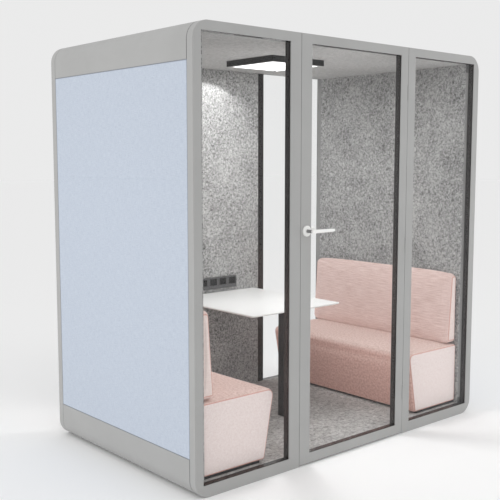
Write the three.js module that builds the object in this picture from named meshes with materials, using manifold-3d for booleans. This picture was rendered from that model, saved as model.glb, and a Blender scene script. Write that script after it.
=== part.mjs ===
// Four-seat acoustic pod with a glazed front, a hinged door, two benches and a table.
// Millimetres, +Z up, +X to the right seen from the front, front face towards -Y.
import * as THREE from 'three';
import { mergeVertices } from 'three/addons/utils/BufferGeometryUtils.js';
import Module from 'manifold-3d';

const wasm = await Module();
wasm.setup();

// Body
const width = 2275;
const depth = 1350;
const height = 2300;
const cornerRadius = 92;
const edgeBevel = 1.2;
const bandDepth = 44;

// Clearances
const fit = 0.3;
const running = 0.4;

// Roof shell, base shell and floor
const roofSkirt = 182;
const roofThickness = 38;
const baseSkirt = 196;
const basePlate = 26;
const ledgeRise = 6;
const deckThickness = 28.4;
const carpetThickness = 8;
const ceilingThickness = 12;

// Side walls, from the outside in
const fabricThickness = 19;
const fabricRecess = 1;
const fabricEdge = 2.4;
const fabricSeam = 0.8;
const lowerSeamLevel = 718;
const upperSeamLevel = 1558;
const wallCore = 58;
const feltThickness = 9;

// Glazed modules
const seamOffset = 434;
const seamGap = 2;
const topRail = 49;
const bottomRail = 63;
const outerStile = 51.5;
const latchSideStile = 76;
const hingeSideStile = 65;
const rearStile = 35;
const rearCentreStile = 64;
const lip = 4;
const rebate = 7;
const glassHold = 4;
const glassThickness = 8;
const claddingThickness = 3;
const feltTrim = 20;

// Door leaf
const doorFloorGap = 6;
const lockStile = 77;
const hingeStile = 62.5;

// Hinges
const hingeInset = 260;
const hingeLength = 90;
const barrelRadius = 5;
const pinRadius = 2.2;
const leafThickness = 2;
const leafWidth = 30;
const cylinderSides = 20;

// Lever set and latch
const leverLevel = 1279;
const leverBackset = 41;
const leverLength = 162;
const leverReach = 58;
const gripDepth = 13;
const gripRootHeight = 20;
const gripTipHeight = 15;
const gripBevel = 3;
const neckRadius = 9;
const spindleRadius = 4.5;
const roseRadius = 29;
const roseThickness = 9;
const roseEdge = 3;
const boltLength = 26;
const boltHeight = 18;
const boltWidth = 12;
const boltNose = 0.8;
const boltThrow = 8;
const strikeHeight = 120;
const strikeWidth = 24;
const strikeThickness = 2;
const strikePocketDepth = 14;
const strikeMargin = 1;

// Ceiling light
const lightWidth = 418;
const lightLength = 416;
const lightHeight = 35;
const lightCentreY = 0;
const lightRim = 24;
const diffuserThickness = 4;
const sensorRadius = 7;
const sensorThickness = 3;
const sensorX = 150;
const sensorY = 165;

// Socket strip
const stripWidth = 404;
const stripHeight = 78;
const stripBottom = 781;
const stripFace = 10;
const stripBack = 4;
const stripSockets = 5;
const socketPitch = 82;
const socketWidth = 58;
const socketHeight = 46;
const socketDrop = 8;
const socketRecess = 4;

// Table
const tableLevel = 755;
const tableThickness = 18;
const tableLip = 7;
const tableUnderBevel = 30;
const tableWidth = 736;
const tableFrontY = -212;
const tableCorner = 12;
const tableBevel = 1;
const legEdgeRadius = 2;
const legThickness = 32;
const legLength = 100;
const legSetback = 58;
const railLength = 640;
const railLeg = 40;
const railWall = 4;

// Benches
const benchLength = 1240;
const plinthHeight = 13;
const plinthRecess = 32;
const plinthEndRecess = 14;
const seatLevel = 456;
const seatTopDepth = 488;
const seatBottomDepth = 418;
const seatFrontRadius = 40;
const seatFootRadius = 14;
const seatRearRadius = 16;
const seatEndRadius = 16;
const seatCrown = 5;
const backBottom = 467;
const backTop = 922;
const backBottomDepth = 86;
const backTopDepth = 54;
const backLength = 1232;
const backRadius = 24;
const backRearRadius = 10;
const backRearTopRadius = 22;
const backCornerRadius = 42;
const backEndRadius = 24;
const backCrown = 8;
const endCrown = 4;
const seamDepth = 2.5;
const creaseRadius = 2;

// Places that follow from the sizes
const halfWidth = width / 2;
const frontY = -depth / 2;
const bandInnerY = frontY + bandDepth;
const shellEndY = -bandInnerY - fit;
const skirtWall = fabricThickness + fabricRecess;
const skirtInner = halfWidth - skirtWall;
const coreOuter = skirtInner - fit;
const coreInner = coreOuter - wallCore;
const wallFace = coreInner - fit - feltThickness;
const ledge = cornerRadius + ledgeRise;
const floorLevel = basePlate + fit + deckThickness + fit + carpetThickness;
const ceilingLevel = height - roofThickness - fit - ceilingThickness;
const hingeLevels = [hingeInset, height / 2, height - hingeInset];
const seamEdge = seamOffset - seamGap / 2;
const fixedEdge = seamOffset + seamGap / 2;
const rearFeltFace = -bandInnerY - fit - feltThickness;

// Finishes
const greyPaint = { color: 0xa9a9a9, roughness: 0.5, metalness: 0.1 };
const blueFabric = { color: 0xc6cedb, roughness: 0.95, metalness: 0 };
const greyFelt = { color: 0x8f8f8f, roughness: 1, metalness: 0 };
const paleFelt = { color: 0xb4b4b2, roughness: 1, metalness: 0 };
const greyCarpet = { color: 0x858585, roughness: 1, metalness: 0 };
const board = { color: 0x9a8f80, roughness: 0.9, metalness: 0 };
const blackGloss = { color: 0x161514, roughness: 0.08, metalness: 0 };
const clearGlass = { color: 0xf2f6f5, roughness: 0.02, metalness: 0 };
const whitePaint = { color: 0xeeeeec, roughness: 0.4, metalness: 0 };
const steel = { color: 0xb9b9b9, roughness: 0.3, metalness: 1 };
const darkPaint = { color: 0x2b2b2c, roughness: 0.5, metalness: 0 };
const darkPlastic = { color: 0x4a4a4b, roughness: 0.6, metalness: 0 };
const blackPlastic = { color: 0x1c1c1d, roughness: 0.6, metalness: 0 };
const lightPlastic = { color: 0xffffff, roughness: 0.6, metalness: 0 };
const pinkFabric = { color: 0xdcbcb5, roughness: 0.95, metalness: 0 };

const pod = new THREE.Group();
pod.name = 'acoustic_pod';
pod.position.y = leverReach / 2;

function place(name, geometry, finish, parent = pod) {
  const faceted = geometry.index ? geometry.toNonIndexed() : geometry;
  faceted.computeVertexNormals();
  const mesh = new THREE.Mesh(faceted, new THREE.MeshStandardMaterial(finish));
  mesh.name = name;
  parent.add(mesh);
  return mesh;
}

// Solids and cuts
function closedMesh(geometry) {
  const bare = geometry.clone();
  bare.deleteAttribute('normal');
  bare.deleteAttribute('uv');
  return mergeVertices(bare, 1e-4);
}

function toSolid(geometry) {
  const merged = closedMesh(geometry);
  return new wasm.Manifold(new wasm.Mesh({
    numProp: 3,
    vertProperties: new Float32Array(merged.attributes.position.array),
    triVerts: new Uint32Array(merged.index.array),
  }));
}

function toGeometry(body) {
  const mesh = body.getMesh();
  const geometry = new THREE.BufferGeometry();
  geometry.setAttribute('position', new THREE.BufferAttribute(new Float32Array(mesh.vertProperties), 3));
  geometry.setIndex(new THREE.BufferAttribute(new Uint32Array(mesh.triVerts), 1));
  return geometry;
}

function cut(geometry, cutters) {
  return toGeometry(cutters.reduce((body, cutter) => body.subtract(toSolid(cutter)), toSolid(geometry)));
}

function fuse(geometry, others) {
  return toGeometry(others.reduce((body, other) => body.add(toSolid(other)), toSolid(geometry)));
}

function block(x0, x1, y0, y1, z0, z1) {
  const geometry = new THREE.BoxGeometry(x1 - x0, y1 - y0, z1 - z0);
  geometry.translate((x0 + x1) / 2, (y0 + y1) / 2, (z0 + z1) / 2);
  return geometry;
}

function rodAlongZ(radius, x, y, z0, z1) {
  const geometry = new THREE.CylinderGeometry(radius, radius, z1 - z0, cylinderSides);
  geometry.rotateX(Math.PI / 2);
  geometry.translate(x, y, (z0 + z1) / 2);
  return geometry;
}

function rodAlongY(radius, y0, y1) {
  const geometry = new THREE.CylinderGeometry(radius, radius, y1 - y0, cylinderSides);
  geometry.translate(0, (y0 + y1) / 2, 0);
  return geometry;
}

// Outlines
function outline(left, right, bottom, top, radii = {}) {
  const { bottomLeft = 0, bottomRight = 0, topRight = 0, topLeft = 0 } = radii;
  const shape = new THREE.Shape();
  shape.moveTo(left + bottomLeft, bottom);
  shape.lineTo(right - bottomRight, bottom);
  if (bottomRight) shape.absarc(right - bottomRight, bottom + bottomRight, bottomRight, -Math.PI / 2, 0);
  shape.lineTo(right, top - topRight);
  if (topRight) shape.absarc(right - topRight, top - topRight, topRight, 0, Math.PI / 2);
  shape.lineTo(left + topLeft, top);
  if (topLeft) shape.absarc(left + topLeft, top - topLeft, topLeft, Math.PI / 2, Math.PI);
  if (bottomLeft) {
    shape.lineTo(left, bottom + bottomLeft);
    shape.absarc(left + bottomLeft, bottom + bottomLeft, bottomLeft, Math.PI, 1.5 * Math.PI);
  }
  return shape;
}

function evenRadii(radius) {
  return { bottomLeft: radius, bottomRight: radius, topRight: radius, topLeft: radius };
}

function extrude(shape, length, bevel, curveSegments = 16) {
  return new THREE.ExtrudeGeometry(shape, {
    depth: length - 2 * bevel,
    bevelEnabled: bevel > 0,
    bevelThickness: bevel,
    bevelSize: bevel,
    bevelOffset: -bevel,
    bevelSegments: 1,
    curveSegments,
  }).translate(0, 0, bevel);
}

function extrudeAlongY(shape, y0, y1, bevel, curveSegments) {
  return extrude(shape, y1 - y0, bevel, curveSegments).rotateX(Math.PI / 2).translate(0, y1, 0);
}

function extrudeAlongX(shape, x0, x1, bevel, curveSegments) {
  const turned = extrude(shape, x1 - x0, bevel, curveSegments).rotateX(Math.PI / 2).rotateZ(Math.PI / 2);
  return turned.translate(x0, 0, 0);
}

// Roof and base: one section, with a skirt beside the fabric and a ledge under the wall core
function shellSection(skirt, plate) {
  const shape = new THREE.Shape();
  shape.moveTo(-halfWidth, skirt);
  shape.lineTo(-halfWidth, cornerRadius);
  shape.absarc(-halfWidth + cornerRadius, cornerRadius, cornerRadius, Math.PI, 1.5 * Math.PI);
  shape.lineTo(halfWidth - cornerRadius, 0);
  shape.absarc(halfWidth - cornerRadius, cornerRadius, cornerRadius, -Math.PI / 2, 0);
  shape.lineTo(halfWidth, skirt);
  shape.lineTo(skirtInner, skirt);
  shape.lineTo(skirtInner, ledge);
  shape.lineTo(coreInner, ledge);
  shape.lineTo(coreInner, plate);
  shape.lineTo(-coreInner, plate);
  shape.lineTo(-coreInner, ledge);
  shape.lineTo(-skirtInner, ledge);
  shape.lineTo(-skirtInner, skirt);
  return shape;
}

place('base_shell', extrudeAlongY(shellSection(baseSkirt, basePlate), -shellEndY, shellEndY, edgeBevel), greyPaint);
const roof = extrudeAlongY(shellSection(roofSkirt, roofThickness), -shellEndY, shellEndY, edgeBevel);
place('roof_shell', roof.rotateY(Math.PI).translate(0, 0, height), greyPaint);

// Floor and ceiling between the ledges
const layEdge = coreInner - fit;
const deckTop = basePlate + fit + deckThickness;
place('floor_deck', block(-layEdge, layEdge, -shellEndY, shellEndY, basePlate + fit, deckTop), board);
place('carpet', block(-layEdge, layEdge, -shellEndY, shellEndY, deckTop + fit, floorLevel), greyCarpet);
place('ceiling_panel',
  block(-layEdge, layEdge, -shellEndY, shellEndY, ceilingLevel, ceilingLevel + ceilingThickness), paleFelt);

// Side walls
const fabricLevels = [baseSkirt, lowerSeamLevel, upperSeamLevel, height - roofSkirt];
for (const [side, sign] of [['left', -1], ['right', 1]]) {
  const span = (inner, outer) => [Math.min(sign * inner, sign * outer), Math.max(sign * inner, sign * outer)];
  const core = block(...span(coreInner, coreOuter), -shellEndY, shellEndY, ledge + fit, height - ledge - fit);
  place(`${side}_wall_core`, core, board);
  const felt = block(...span(wallFace, wallFace + feltThickness), -shellEndY, shellEndY,
    floorLevel + fit, ceilingLevel - fit);
  place(`${side}_felt_panel`, felt, greyFelt);
  ['lower', 'middle', 'upper'].forEach((level, i) => {
    const bottom = fabricLevels[i] + (i === 0 ? fit : fabricSeam / 2);
    const top = fabricLevels[i + 1] - (i === 2 ? fit : fabricSeam / 2);
    const edge = outline(-shellEndY, shellEndY, bottom, top, evenRadii(fabricEdge));
    const panel = extrudeAlongX(edge, 0, fabricThickness, fabricEdge / 2, 3);
    panel.rotateZ(sign > 0 ? 0 : Math.PI);
    panel.translate(sign * skirtInner, 0, 0);
    place(`${side}_fabric_${level}`, panel, blueFabric);
  });
}

// Glazed modules: a painted frame, a gloss liner that holds the pane against the lip, and the pane
function frameOf(shape, opening, cutters = []) {
  const { left, right, bottom, top } = opening;
  shape.holes.push(outline(left, right, bottom, top));
  const ring = extrudeAlongY(shape, frontY, bandInnerY, edgeBevel);
  const step = block(left - rebate, right + rebate, frontY + lip, bandInnerY + rebate, bottom - rebate, top + rebate);
  return cut(ring, [step, ...cutters]);
}

function linerOf(opening, cladding = []) {
  const { left, right, bottom, top } = opening;
  const reach = rebate - fit;
  const shape = outline(left - reach, right + reach, bottom - reach, top + reach);
  shape.holes.push(outline(left, right, bottom, top));
  const start = frontY + lip + fit;
  const ring = extrudeAlongY(shape, start, bandInnerY, 0);
  const seat = block(left - glassHold, right + glassHold, start - glassThickness, start + glassThickness + fit,
    bottom - glassHold, top + glassHold);
  return fuse(cut(ring, [seat]), cladding);
}

function paneOf(opening) {
  const { left, right, bottom, top } = opening;
  const reach = glassHold - fit;
  const start = frontY + lip + fit;
  return block(left - reach, right + reach, start, start + glassThickness, bottom - reach, top + reach);
}

function glaze(name, shape, opening, parent, cutters = [], cladding = []) {
  place(`${name}_frame`, frameOf(shape, opening, cutters), greyPaint, parent);
  place(`${name}_liner`, linerOf(opening, cladding), blackGloss, parent);
  place(`${name}_glass`, paneOf(opening), clearGlass, parent);
}

const leftCorners = { bottomLeft: cornerRadius, topLeft: cornerRadius };
const rightCorners = { bottomRight: cornerRadius, topRight: cornerRadius };
const railOpening = { bottom: bottomRail, top: height - topRail };

// Lever set and latch places on the door
const leverX = -seamEdge + leverBackset;
const boltY = frontY + bandDepth / 2;
const boltTip = -seamEdge - boltNose;
const boltPocketEnd = boltTip + boltLength + boltThrow + running;

function boltSpace(x0, x1, gap) {
  return block(x0, x1, boltY - boltWidth / 2 - gap, boltY + boltWidth / 2 + gap,
    leverLevel - boltHeight / 2 - gap, leverLevel + boltHeight / 2 + gap);
}

// Hinge leaves: knuckles turn on a pin whose centre line lies in the seam at the front face
function hingeBarrel(radius, centre, low, high) {
  return rodAlongZ(radius, seamOffset, frontY, centre + low, centre + high);
}

const knuckle = hingeLength / 6;
const hingeHalf = hingeLength / 2;
const barrelSpace = barrelRadius + running;

function hingeRecesses(edge, towards) {
  return hingeLevels.flatMap((z) => {
    const inner = edge - towards * running;
    const outer = edge + towards * (leafThickness + fit);
    const leafSpace = block(Math.min(inner, outer), Math.max(inner, outer), frontY - barrelSpace,
      frontY + leafWidth + fit, z - hingeHalf - fit, z + hingeHalf + fit);
    return [leafSpace, hingeBarrel(barrelSpace, z, -hingeHalf - fit, hingeHalf + fit)];
  });
}

// Fixed front modules
const strikeSpace = block(-fixedEdge - strikeThickness - fit, -fixedEdge + seamGap / 2,
  boltY - strikeWidth / 2 - fit, boltY + strikeWidth / 2 + fit,
  leverLevel - strikeHeight / 2 - fit, leverLevel + strikeHeight / 2 + fit);
const strikePocket = boltSpace(-fixedEdge - strikePocketDepth, -fixedEdge, strikeMargin);
glaze('front_left', outline(-halfWidth, -fixedEdge, 0, height, leftCorners),
  { left: -halfWidth + outerStile, right: -fixedEdge - latchSideStile, ...railOpening }, pod,
  [strikeSpace, strikePocket]);
glaze('front_right', outline(fixedEdge, halfWidth, 0, height, rightCorners),
  { left: fixedEdge + hingeSideStile, right: halfWidth - outerStile, ...railOpening }, pod,
  hingeRecesses(fixedEdge, 1));

const strikePlate = block(-fixedEdge - strikeThickness, -fixedEdge, boltY - strikeWidth / 2, boltY + strikeWidth / 2,
  leverLevel - strikeHeight / 2, leverLevel + strikeHeight / 2);
place('strike_plate', cut(strikePlate, [boltSpace(-fixedEdge - strikePocketDepth, -seamEdge, strikeMargin)]), steel);

// Door leaf
const spindleBore = rodAlongY(spindleRadius + running, frontY - rebate, bandInnerY + rebate)
  .translate(leverX, 0, leverLevel);
glaze('door', outline(-seamEdge, seamEdge, doorFloorGap, height),
  { left: -seamEdge + lockStile, right: seamEdge - hingeStile, ...railOpening }, pod,
  [boltSpace(boltTip - boltNose, boltPocketEnd, fit), spindleBore, ...hingeRecesses(seamEdge, -1)]);
place('latch_bolt', boltSpace(boltTip, boltTip + boltLength, 0), steel);

// Hinges
['bottom', 'middle', 'top'].forEach((level, i) => {
  const z = hingeLevels[i];
  const jambPlate = block(fixedEdge, fixedEdge + leafThickness, frontY, frontY + leafWidth, z - hingeHalf, z + hingeHalf);
  const jambBarrel = hingeBarrel(barrelRadius, z, -hingeHalf, hingeHalf);
  const doorSpace = hingeBarrel(barrelSpace, z, -knuckle - running / 2, knuckle + running / 2);
  const pin = hingeBarrel(pinRadius, z, -hingeHalf, hingeHalf);
  place(`hinge_jamb_${level}`, fuse(cut(fuse(jambPlate, [jambBarrel]), [doorSpace]), [pin]), greyPaint);

  const doorPlate = block(seamEdge - leafThickness, seamEdge, frontY, frontY + leafWidth, z - hingeHalf, z + hingeHalf);
  const lowSpace = hingeBarrel(barrelSpace, z, -hingeHalf - fit, -knuckle + running / 2);
  const highSpace = hingeBarrel(barrelSpace, z, knuckle - running / 2, hingeHalf + fit);
  const doorBarrel = hingeBarrel(barrelRadius, z, -knuckle + running / 2, knuckle - running / 2);
  const bore = hingeBarrel(pinRadius + running, z, -hingeHalf, hingeHalf);
  const doorLeaf = cut(fuse(cut(doorPlate, [lowSpace, highSpace]), [doorBarrel]), [bore]);
  place(`hinge_door_${level}`, doorLeaf, greyPaint);
});

// Lever set: a domed rose and a tapered grip on each face, turning on one spindle
function outwardFacing(geometry) {
  const merged = closedMesh(geometry);
  const point = merged.attributes.position;
  const index = merged.index;
  const a = new THREE.Vector3();
  const b = new THREE.Vector3();
  const c = new THREE.Vector3();
  let volume = 0;
  for (let i = 0; i < index.count; i += 3) {
    a.fromBufferAttribute(point, index.getX(i));
    b.fromBufferAttribute(point, index.getX(i + 1));
    c.fromBufferAttribute(point, index.getX(i + 2));
    volume += a.dot(b.cross(c));
  }
  if (volume < 0) {
    const turned = Array.from(index.array);
    for (let i = 0; i < turned.length; i += 3) {
      [turned[i + 1], turned[i + 2]] = [turned[i + 2], turned[i + 1]];
    }
    merged.setIndex(turned);
  }
  return merged;
}

function rose() {
  const bore = neckRadius + running;
  const profile = [
    new THREE.Vector2(bore, 0),
    new THREE.Vector2(roseRadius, 0),
    new THREE.Vector2(roseRadius, roseThickness - roseEdge),
    new THREE.Vector2(roseRadius - roseEdge, roseThickness),
    new THREE.Vector2(bore, roseThickness),
    new THREE.Vector2(bore, 0),
  ];
  return outwardFacing(new THREE.LatheGeometry(profile, 2 * cylinderSides));
}

function grip() {
  const root = gripRootHeight / 2;
  const tip = gripTipHeight / 2;
  const shape = new THREE.Shape();
  shape.moveTo(0, -root);
  shape.lineTo(leverLength - tip, -tip);
  shape.absarc(leverLength - tip, 0, tip, -Math.PI / 2, Math.PI / 2);
  shape.lineTo(0, root);
  shape.absarc(0, 0, root, Math.PI / 2, 1.5 * Math.PI);
  return extrudeAlongY(shape, -leverReach, -leverReach + gripDepth, gripBevel);
}

const neckEnd = -leverReach + gripDepth / 2;
const neck = rodAlongY(neckRadius, neckEnd, -fit);
const spindle = rodAlongY(spindleRadius, -roseThickness, bandDepth);
const outerLever = place('outer_lever', fuse(grip(), [neck, spindle]), whitePaint);
outerLever.position.set(leverX, frontY, leverLevel);
const innerLever = place('inner_lever', fuse(grip(), [neck]), whitePaint);
innerLever.rotation.x = Math.PI;
innerLever.position.set(leverX, bandInnerY, leverLevel);
const innerRose = place('inner_rose', rose(), whitePaint);
innerRose.position.set(leverX, bandInnerY + fit, leverLevel);
const outerRose = place('outer_rose', rose(), whitePaint);
outerRose.rotation.x = Math.PI;
outerRose.position.set(leverX, frontY - fit, leverLevel);

// Rear: two glazed modules like the front ones, turned about, and a solid middle module
const rear = new THREE.Group();
rear.name = 'rear_wall';
rear.rotation.z = Math.PI;
pod.add(rear);

function postCladding(edge, openingEdge, towards) {
  const reach = openingEdge - towards * (rebate - fit);
  const low = floorLevel + fit;
  const high = ceilingLevel - fit;
  const face = bandInnerY + fit;
  const order = (a, b) => [Math.min(a, b), Math.max(a, b)];
  return [
    block(...order(edge - towards * feltTrim, openingEdge), face, face + claddingThickness, low, high),
    block(...order(reach, openingEdge), bandInnerY - claddingThickness, face + claddingThickness, low, high),
  ];
}

const rearInner = fixedEdge + rearStile;
const rearOuter = wallFace;
glaze('rear_right', outline(-halfWidth, -fixedEdge, 0, height, leftCorners),
  { left: -rearOuter, right: -rearInner, ...railOpening }, rear, [],
  postCladding(-fixedEdge, -rearInner, -1));
glaze('rear_left', outline(fixedEdge, halfWidth, 0, height, rightCorners),
  { left: rearInner, right: rearOuter, ...railOpening }, rear, [],
  postCladding(fixedEdge, rearInner, 1));

const middle = outline(-seamEdge, seamEdge, 0, height);
const infill = { left: -seamEdge + rearCentreStile, right: seamEdge - rearCentreStile, ...railOpening };
middle.holes.push(outline(infill.left, infill.right, infill.bottom, infill.top));
place('rear_centre_frame', extrudeAlongY(middle, frontY, bandInnerY, edgeBevel), greyPaint, rear);
const infillEdge = outline(infill.left + fit, infill.right - fit, infill.bottom + fit, infill.top - fit,
  evenRadii(fabricEdge));
place('rear_fabric_panel', extrudeAlongY(infillEdge, frontY + fabricRecess, bandInnerY, fabricEdge / 2, 3), blueFabric,
  rear);
const feltEdge = fixedEdge - feltTrim - fit;
place('rear_felt_panel', block(-feltEdge, feltEdge, rearFeltFace, rearFeltFace + feltThickness,
  floorLevel + fit, ceilingLevel - fit), greyFelt);

// Ceiling light
const lightTop = ceilingLevel - fit;
const lightBottom = lightTop - lightHeight;
const lightX = lightWidth / 2;
const lightY0 = lightCentreY - lightLength / 2;
const lightY1 = lightCentreY + lightLength / 2;
const lightBox = block(-lightX, lightX, lightY0, lightY1, lightBottom, lightTop);
const lightPocket = block(-lightX + lightRim, lightX - lightRim, lightY0 + lightRim, lightY1 - lightRim,
  lightBottom - diffuserThickness, lightBottom + diffuserThickness + fit);
place('light_housing', cut(lightBox, [lightPocket]), darkPaint);
const diffuserRim = lightRim + fit;
place('light_diffuser', block(-lightX + diffuserRim, lightX - diffuserRim, lightY0 + diffuserRim, lightY1 - diffuserRim,
  lightBottom, lightBottom + diffuserThickness), lightPlastic);
place('light_sensor', rodAlongZ(sensorRadius, sensorX, lightCentreY + sensorY, lightBottom - fit - sensorThickness,
  lightBottom - fit), blackPlastic);

// Socket strip on the rear felt: a face with windows over a back with one raised insert in each
const stripRear = rearFeltFace - fit;
const stripSplit = stripRear - stripBack;
const stripFront = stripSplit - fit - stripFace;
const stripTop = stripBottom + stripHeight;
const socketTop = stripTop - socketDrop;
const socketCentres = Array.from({ length: stripSockets }, (_, i) => (i - (stripSockets - 1) / 2) * socketPitch);
const windows = socketCentres.map((x) => block(x - socketWidth / 2, x + socketWidth / 2, stripFront - fit,
  stripSplit + fit, socketTop - socketHeight, socketTop));
const inserts = socketCentres.map((x) => block(x - socketWidth / 2 + fit, x + socketWidth / 2 - fit,
  stripFront + socketRecess, stripRear - stripBack / 2, socketTop - socketHeight + fit, socketTop - fit));
const face = block(-stripWidth / 2, stripWidth / 2, stripFront, stripSplit - fit, stripBottom, stripTop);
const back = block(-stripWidth / 2, stripWidth / 2, stripSplit, stripRear, stripBottom, stripTop);
place('socket_face', cut(face, windows), darkPlastic);
place('socket_back', fuse(back, inserts), blackPlastic);

// Table
const tableUnder = tableLevel - tableThickness;
const tableRearY = rearFeltFace - fit;
const tableEdge = outline(-tableWidth / 2, tableWidth / 2, tableFrontY, tableRearY,
  { bottomLeft: tableCorner, bottomRight: tableCorner });
const tableSlab = extrude(tableEdge, tableThickness, tableBevel).translate(0, 0, tableUnder);

function underBevel(edge, inward) {
  const rise = tableThickness - tableLip;
  const corner = (run, lift) => [edge + inward * run * tableUnderBevel, tableUnder + lift * rise];
  const shape = new THREE.Shape();
  shape.moveTo(...corner(1.5, -0.5));
  shape.lineTo(...corner(-0.5, 1.5));
  shape.lineTo(...corner(-0.5, -0.5));
  return shape;
}

const tableSide = tableWidth / 2;
place('table_top', cut(tableSlab, [
  extrudeAlongY(underBevel(-tableSide, 1), tableFrontY - tableUnderBevel, tableRearY + tableUnderBevel, 0),
  extrudeAlongY(underBevel(tableSide, -1), tableFrontY - tableUnderBevel, tableRearY + tableUnderBevel, 0),
  extrudeAlongX(underBevel(tableFrontY, 1), -tableWidth, tableWidth, 0),
]), whitePaint);
const legFrontY = tableFrontY + legSetback;
const legEdge = outline(-legThickness / 2, legThickness / 2, legFrontY, legFrontY + legLength, evenRadii(legEdgeRadius));
const legBottom = floorLevel + fit;
place('table_leg', extrude(legEdge, tableUnder - fit - legBottom, 0).translate(0, 0, legBottom), darkPaint);
const railBack = rearFeltFace - fit;
const railHigh = tableUnder - fit;
const railUpright = block(-railLength / 2, railLength / 2, railBack - railWall, railBack, railHigh - railLeg, railHigh);
const railFlat = block(-railLength / 2, railLength / 2, railBack - railLeg, railBack, railHigh - railWall, railHigh);
place('table_rail', fuse(railUpright, [railFlat]), darkPaint);

// Upholstery: a rounded side profile carried along the bench, swollen between its seams
function softProfile(corners, flatSteps, turnSteps) {
  const count = corners.length;
  const turns = corners.map(([u, z, radius], i) => {
    const [pu, pz] = corners[(i + count - 1) % count];
    const [nu, nz] = corners[(i + 1) % count];
    const into = new THREE.Vector2(u - pu, z - pz).normalize();
    const out = new THREE.Vector2(nu - u, nz - z).normalize();
    const angle = Math.acos(into.dot(out));
    const trim = radius * Math.tan(angle / 2);
    const normal = new THREE.Vector2(into.y, -into.x);
    const centre = new THREE.Vector2(u, z).addScaledVector(into, -trim).addScaledVector(normal, -radius);
    return { centre, radius, start: Math.atan2(normal.y, normal.x), angle };
  });
  const ring = [];
  turns.forEach((turn, i) => {
    for (let k = 0; k <= turnSteps; k += 1) {
      const a = turn.start + (turn.angle * k) / turnSteps;
      const normal = new THREE.Vector2(Math.cos(a), Math.sin(a));
      ring.push({ point: turn.centre.clone().addScaledVector(normal, turn.radius), normal, swell: 0 });
    }
    const next = turns[(i + 1) % count];
    const normal = new THREE.Vector2(Math.cos(next.start), Math.sin(next.start));
    const from = ring[ring.length - 1].point;
    const to = next.centre.clone().addScaledVector(normal, next.radius);
    for (let k = 1; k < flatSteps; k += 1) {
      const t = k / flatSteps;
      ring.push({ point: from.clone().lerp(to, t), normal, swell: 4 * t * (1 - t) });
    }
  });
  return ring;
}

function insetCorners(corners, inset, drop) {
  const count = corners.length;
  return corners.map(([u, z, radius], i) => {
    const [pu, pz] = corners[(i + count - 1) % count];
    const [nu, nz] = corners[(i + 1) % count];
    const into = new THREE.Vector2(u - pu, z - pz).normalize();
    const out = new THREE.Vector2(nu - u, nz - z).normalize();
    const shift = (side) => (Math.abs(side.x) > Math.abs(side.y) ? drop : inset);
    const turn = into.cross(out);
    const before = shift(into) / turn;
    const after = shift(out) / turn;
    const left = Math.max(radius - inset, creaseRadius);
    return [u + out.x * before - into.x * after, z + out.y * before - into.y * after, left];
  });
}

// How far a corner of this radius has fallen back at a distance from its end
function fallBack(radius, distance) {
  const side = Math.max(0, radius - distance);
  return radius - Math.sqrt(radius * radius - side * side);
}

function cushion(corners, { length, endRadius, cornerRadius: round, crown }) {
  const half = length / 2;
  const stations = [0, 16, 28, 40, 52, 68, 90].map((degrees) => {
    const along = endRadius * (1 - Math.cos(THREE.MathUtils.degToRad(degrees)));
    const seam = degrees === 40 ? seamDepth : 0;
    return { y: -half + along, inset: fallBack(endRadius, along) + seam, drop: fallBack(round, along) + seam };
  });
  if (round > endRadius) stations.push({ y: -half + round, inset: 0, drop: 0 });
  const inner = half - round;
  const spans = 6;
  const middleStations = Array.from({ length: spans - 1 }, (_, k) => ({
    y: -inner + (2 * inner * (k + 1)) / spans,
    inset: 0,
    drop: 0,
  }));
  const mirrored = stations.map((s) => ({ ...s, y: -s.y })).reverse();
  const rows = [...stations, ...middleStations, ...mirrored].map(({ y, inset, drop }) => {
    const along = Math.max(0, 1 - (y / inner) ** 6);
    const ring = softProfile(insetCorners(corners, inset, drop), 6, 5);
    return ring.map(({ point, normal, swell }) => {
      const move = crown * swell * along * Math.max(0, normal.x, normal.y);
      return [point.x + normal.x * move, y, point.y + normal.y * move];
    });
  });
  const n = rows[0].length;
  const centre = rows[0].reduce((sum, p) => [sum[0] + p[0], sum[1] + p[2]], [0, 0]).map((v) => v / n);
  const capRows = (row, sign) => [0.7, 0.35].map((m) => row.map(([u, y, z]) => [
    centre[0] + m * (u - centre[0]),
    y + sign * endCrown * (1 - m * m),
    centre[1] + m * (z - centre[1]),
  ]));
  const all = [...capRows(rows[0], -1).reverse(), ...rows, ...capRows(rows[rows.length - 1], 1)];
  const points = all.flat();
  const faces = [];
  for (let r = 0; r < all.length - 1; r += 1) {
    for (let i = 0; i < n; i += 1) {
      const j = (i + 1) % n;
      faces.push(r * n + i, r * n + j, (r + 1) * n + i, r * n + j, (r + 1) * n + j, (r + 1) * n + i);
    }
  }
  for (const [row, sign] of [[0, -1], [all.length - 1, 1]]) {
    points.push([centre[0], sign * (half + endCrown), centre[1]]);
    const hub = points.length - 1;
    for (let i = 0; i < n; i += 1) {
      const edge = [row * n + i, row * n + ((i + 1) % n)];
      faces.push(...(sign < 0 ? [edge[1], edge[0], hub] : [edge[0], edge[1], hub]));
    }
  }
  const geometry = new THREE.BufferGeometry();
  geometry.setAttribute('position', new THREE.Float32BufferAttribute(points.flat(), 3));
  geometry.setIndex(faces);
  return geometry;
}

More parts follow.
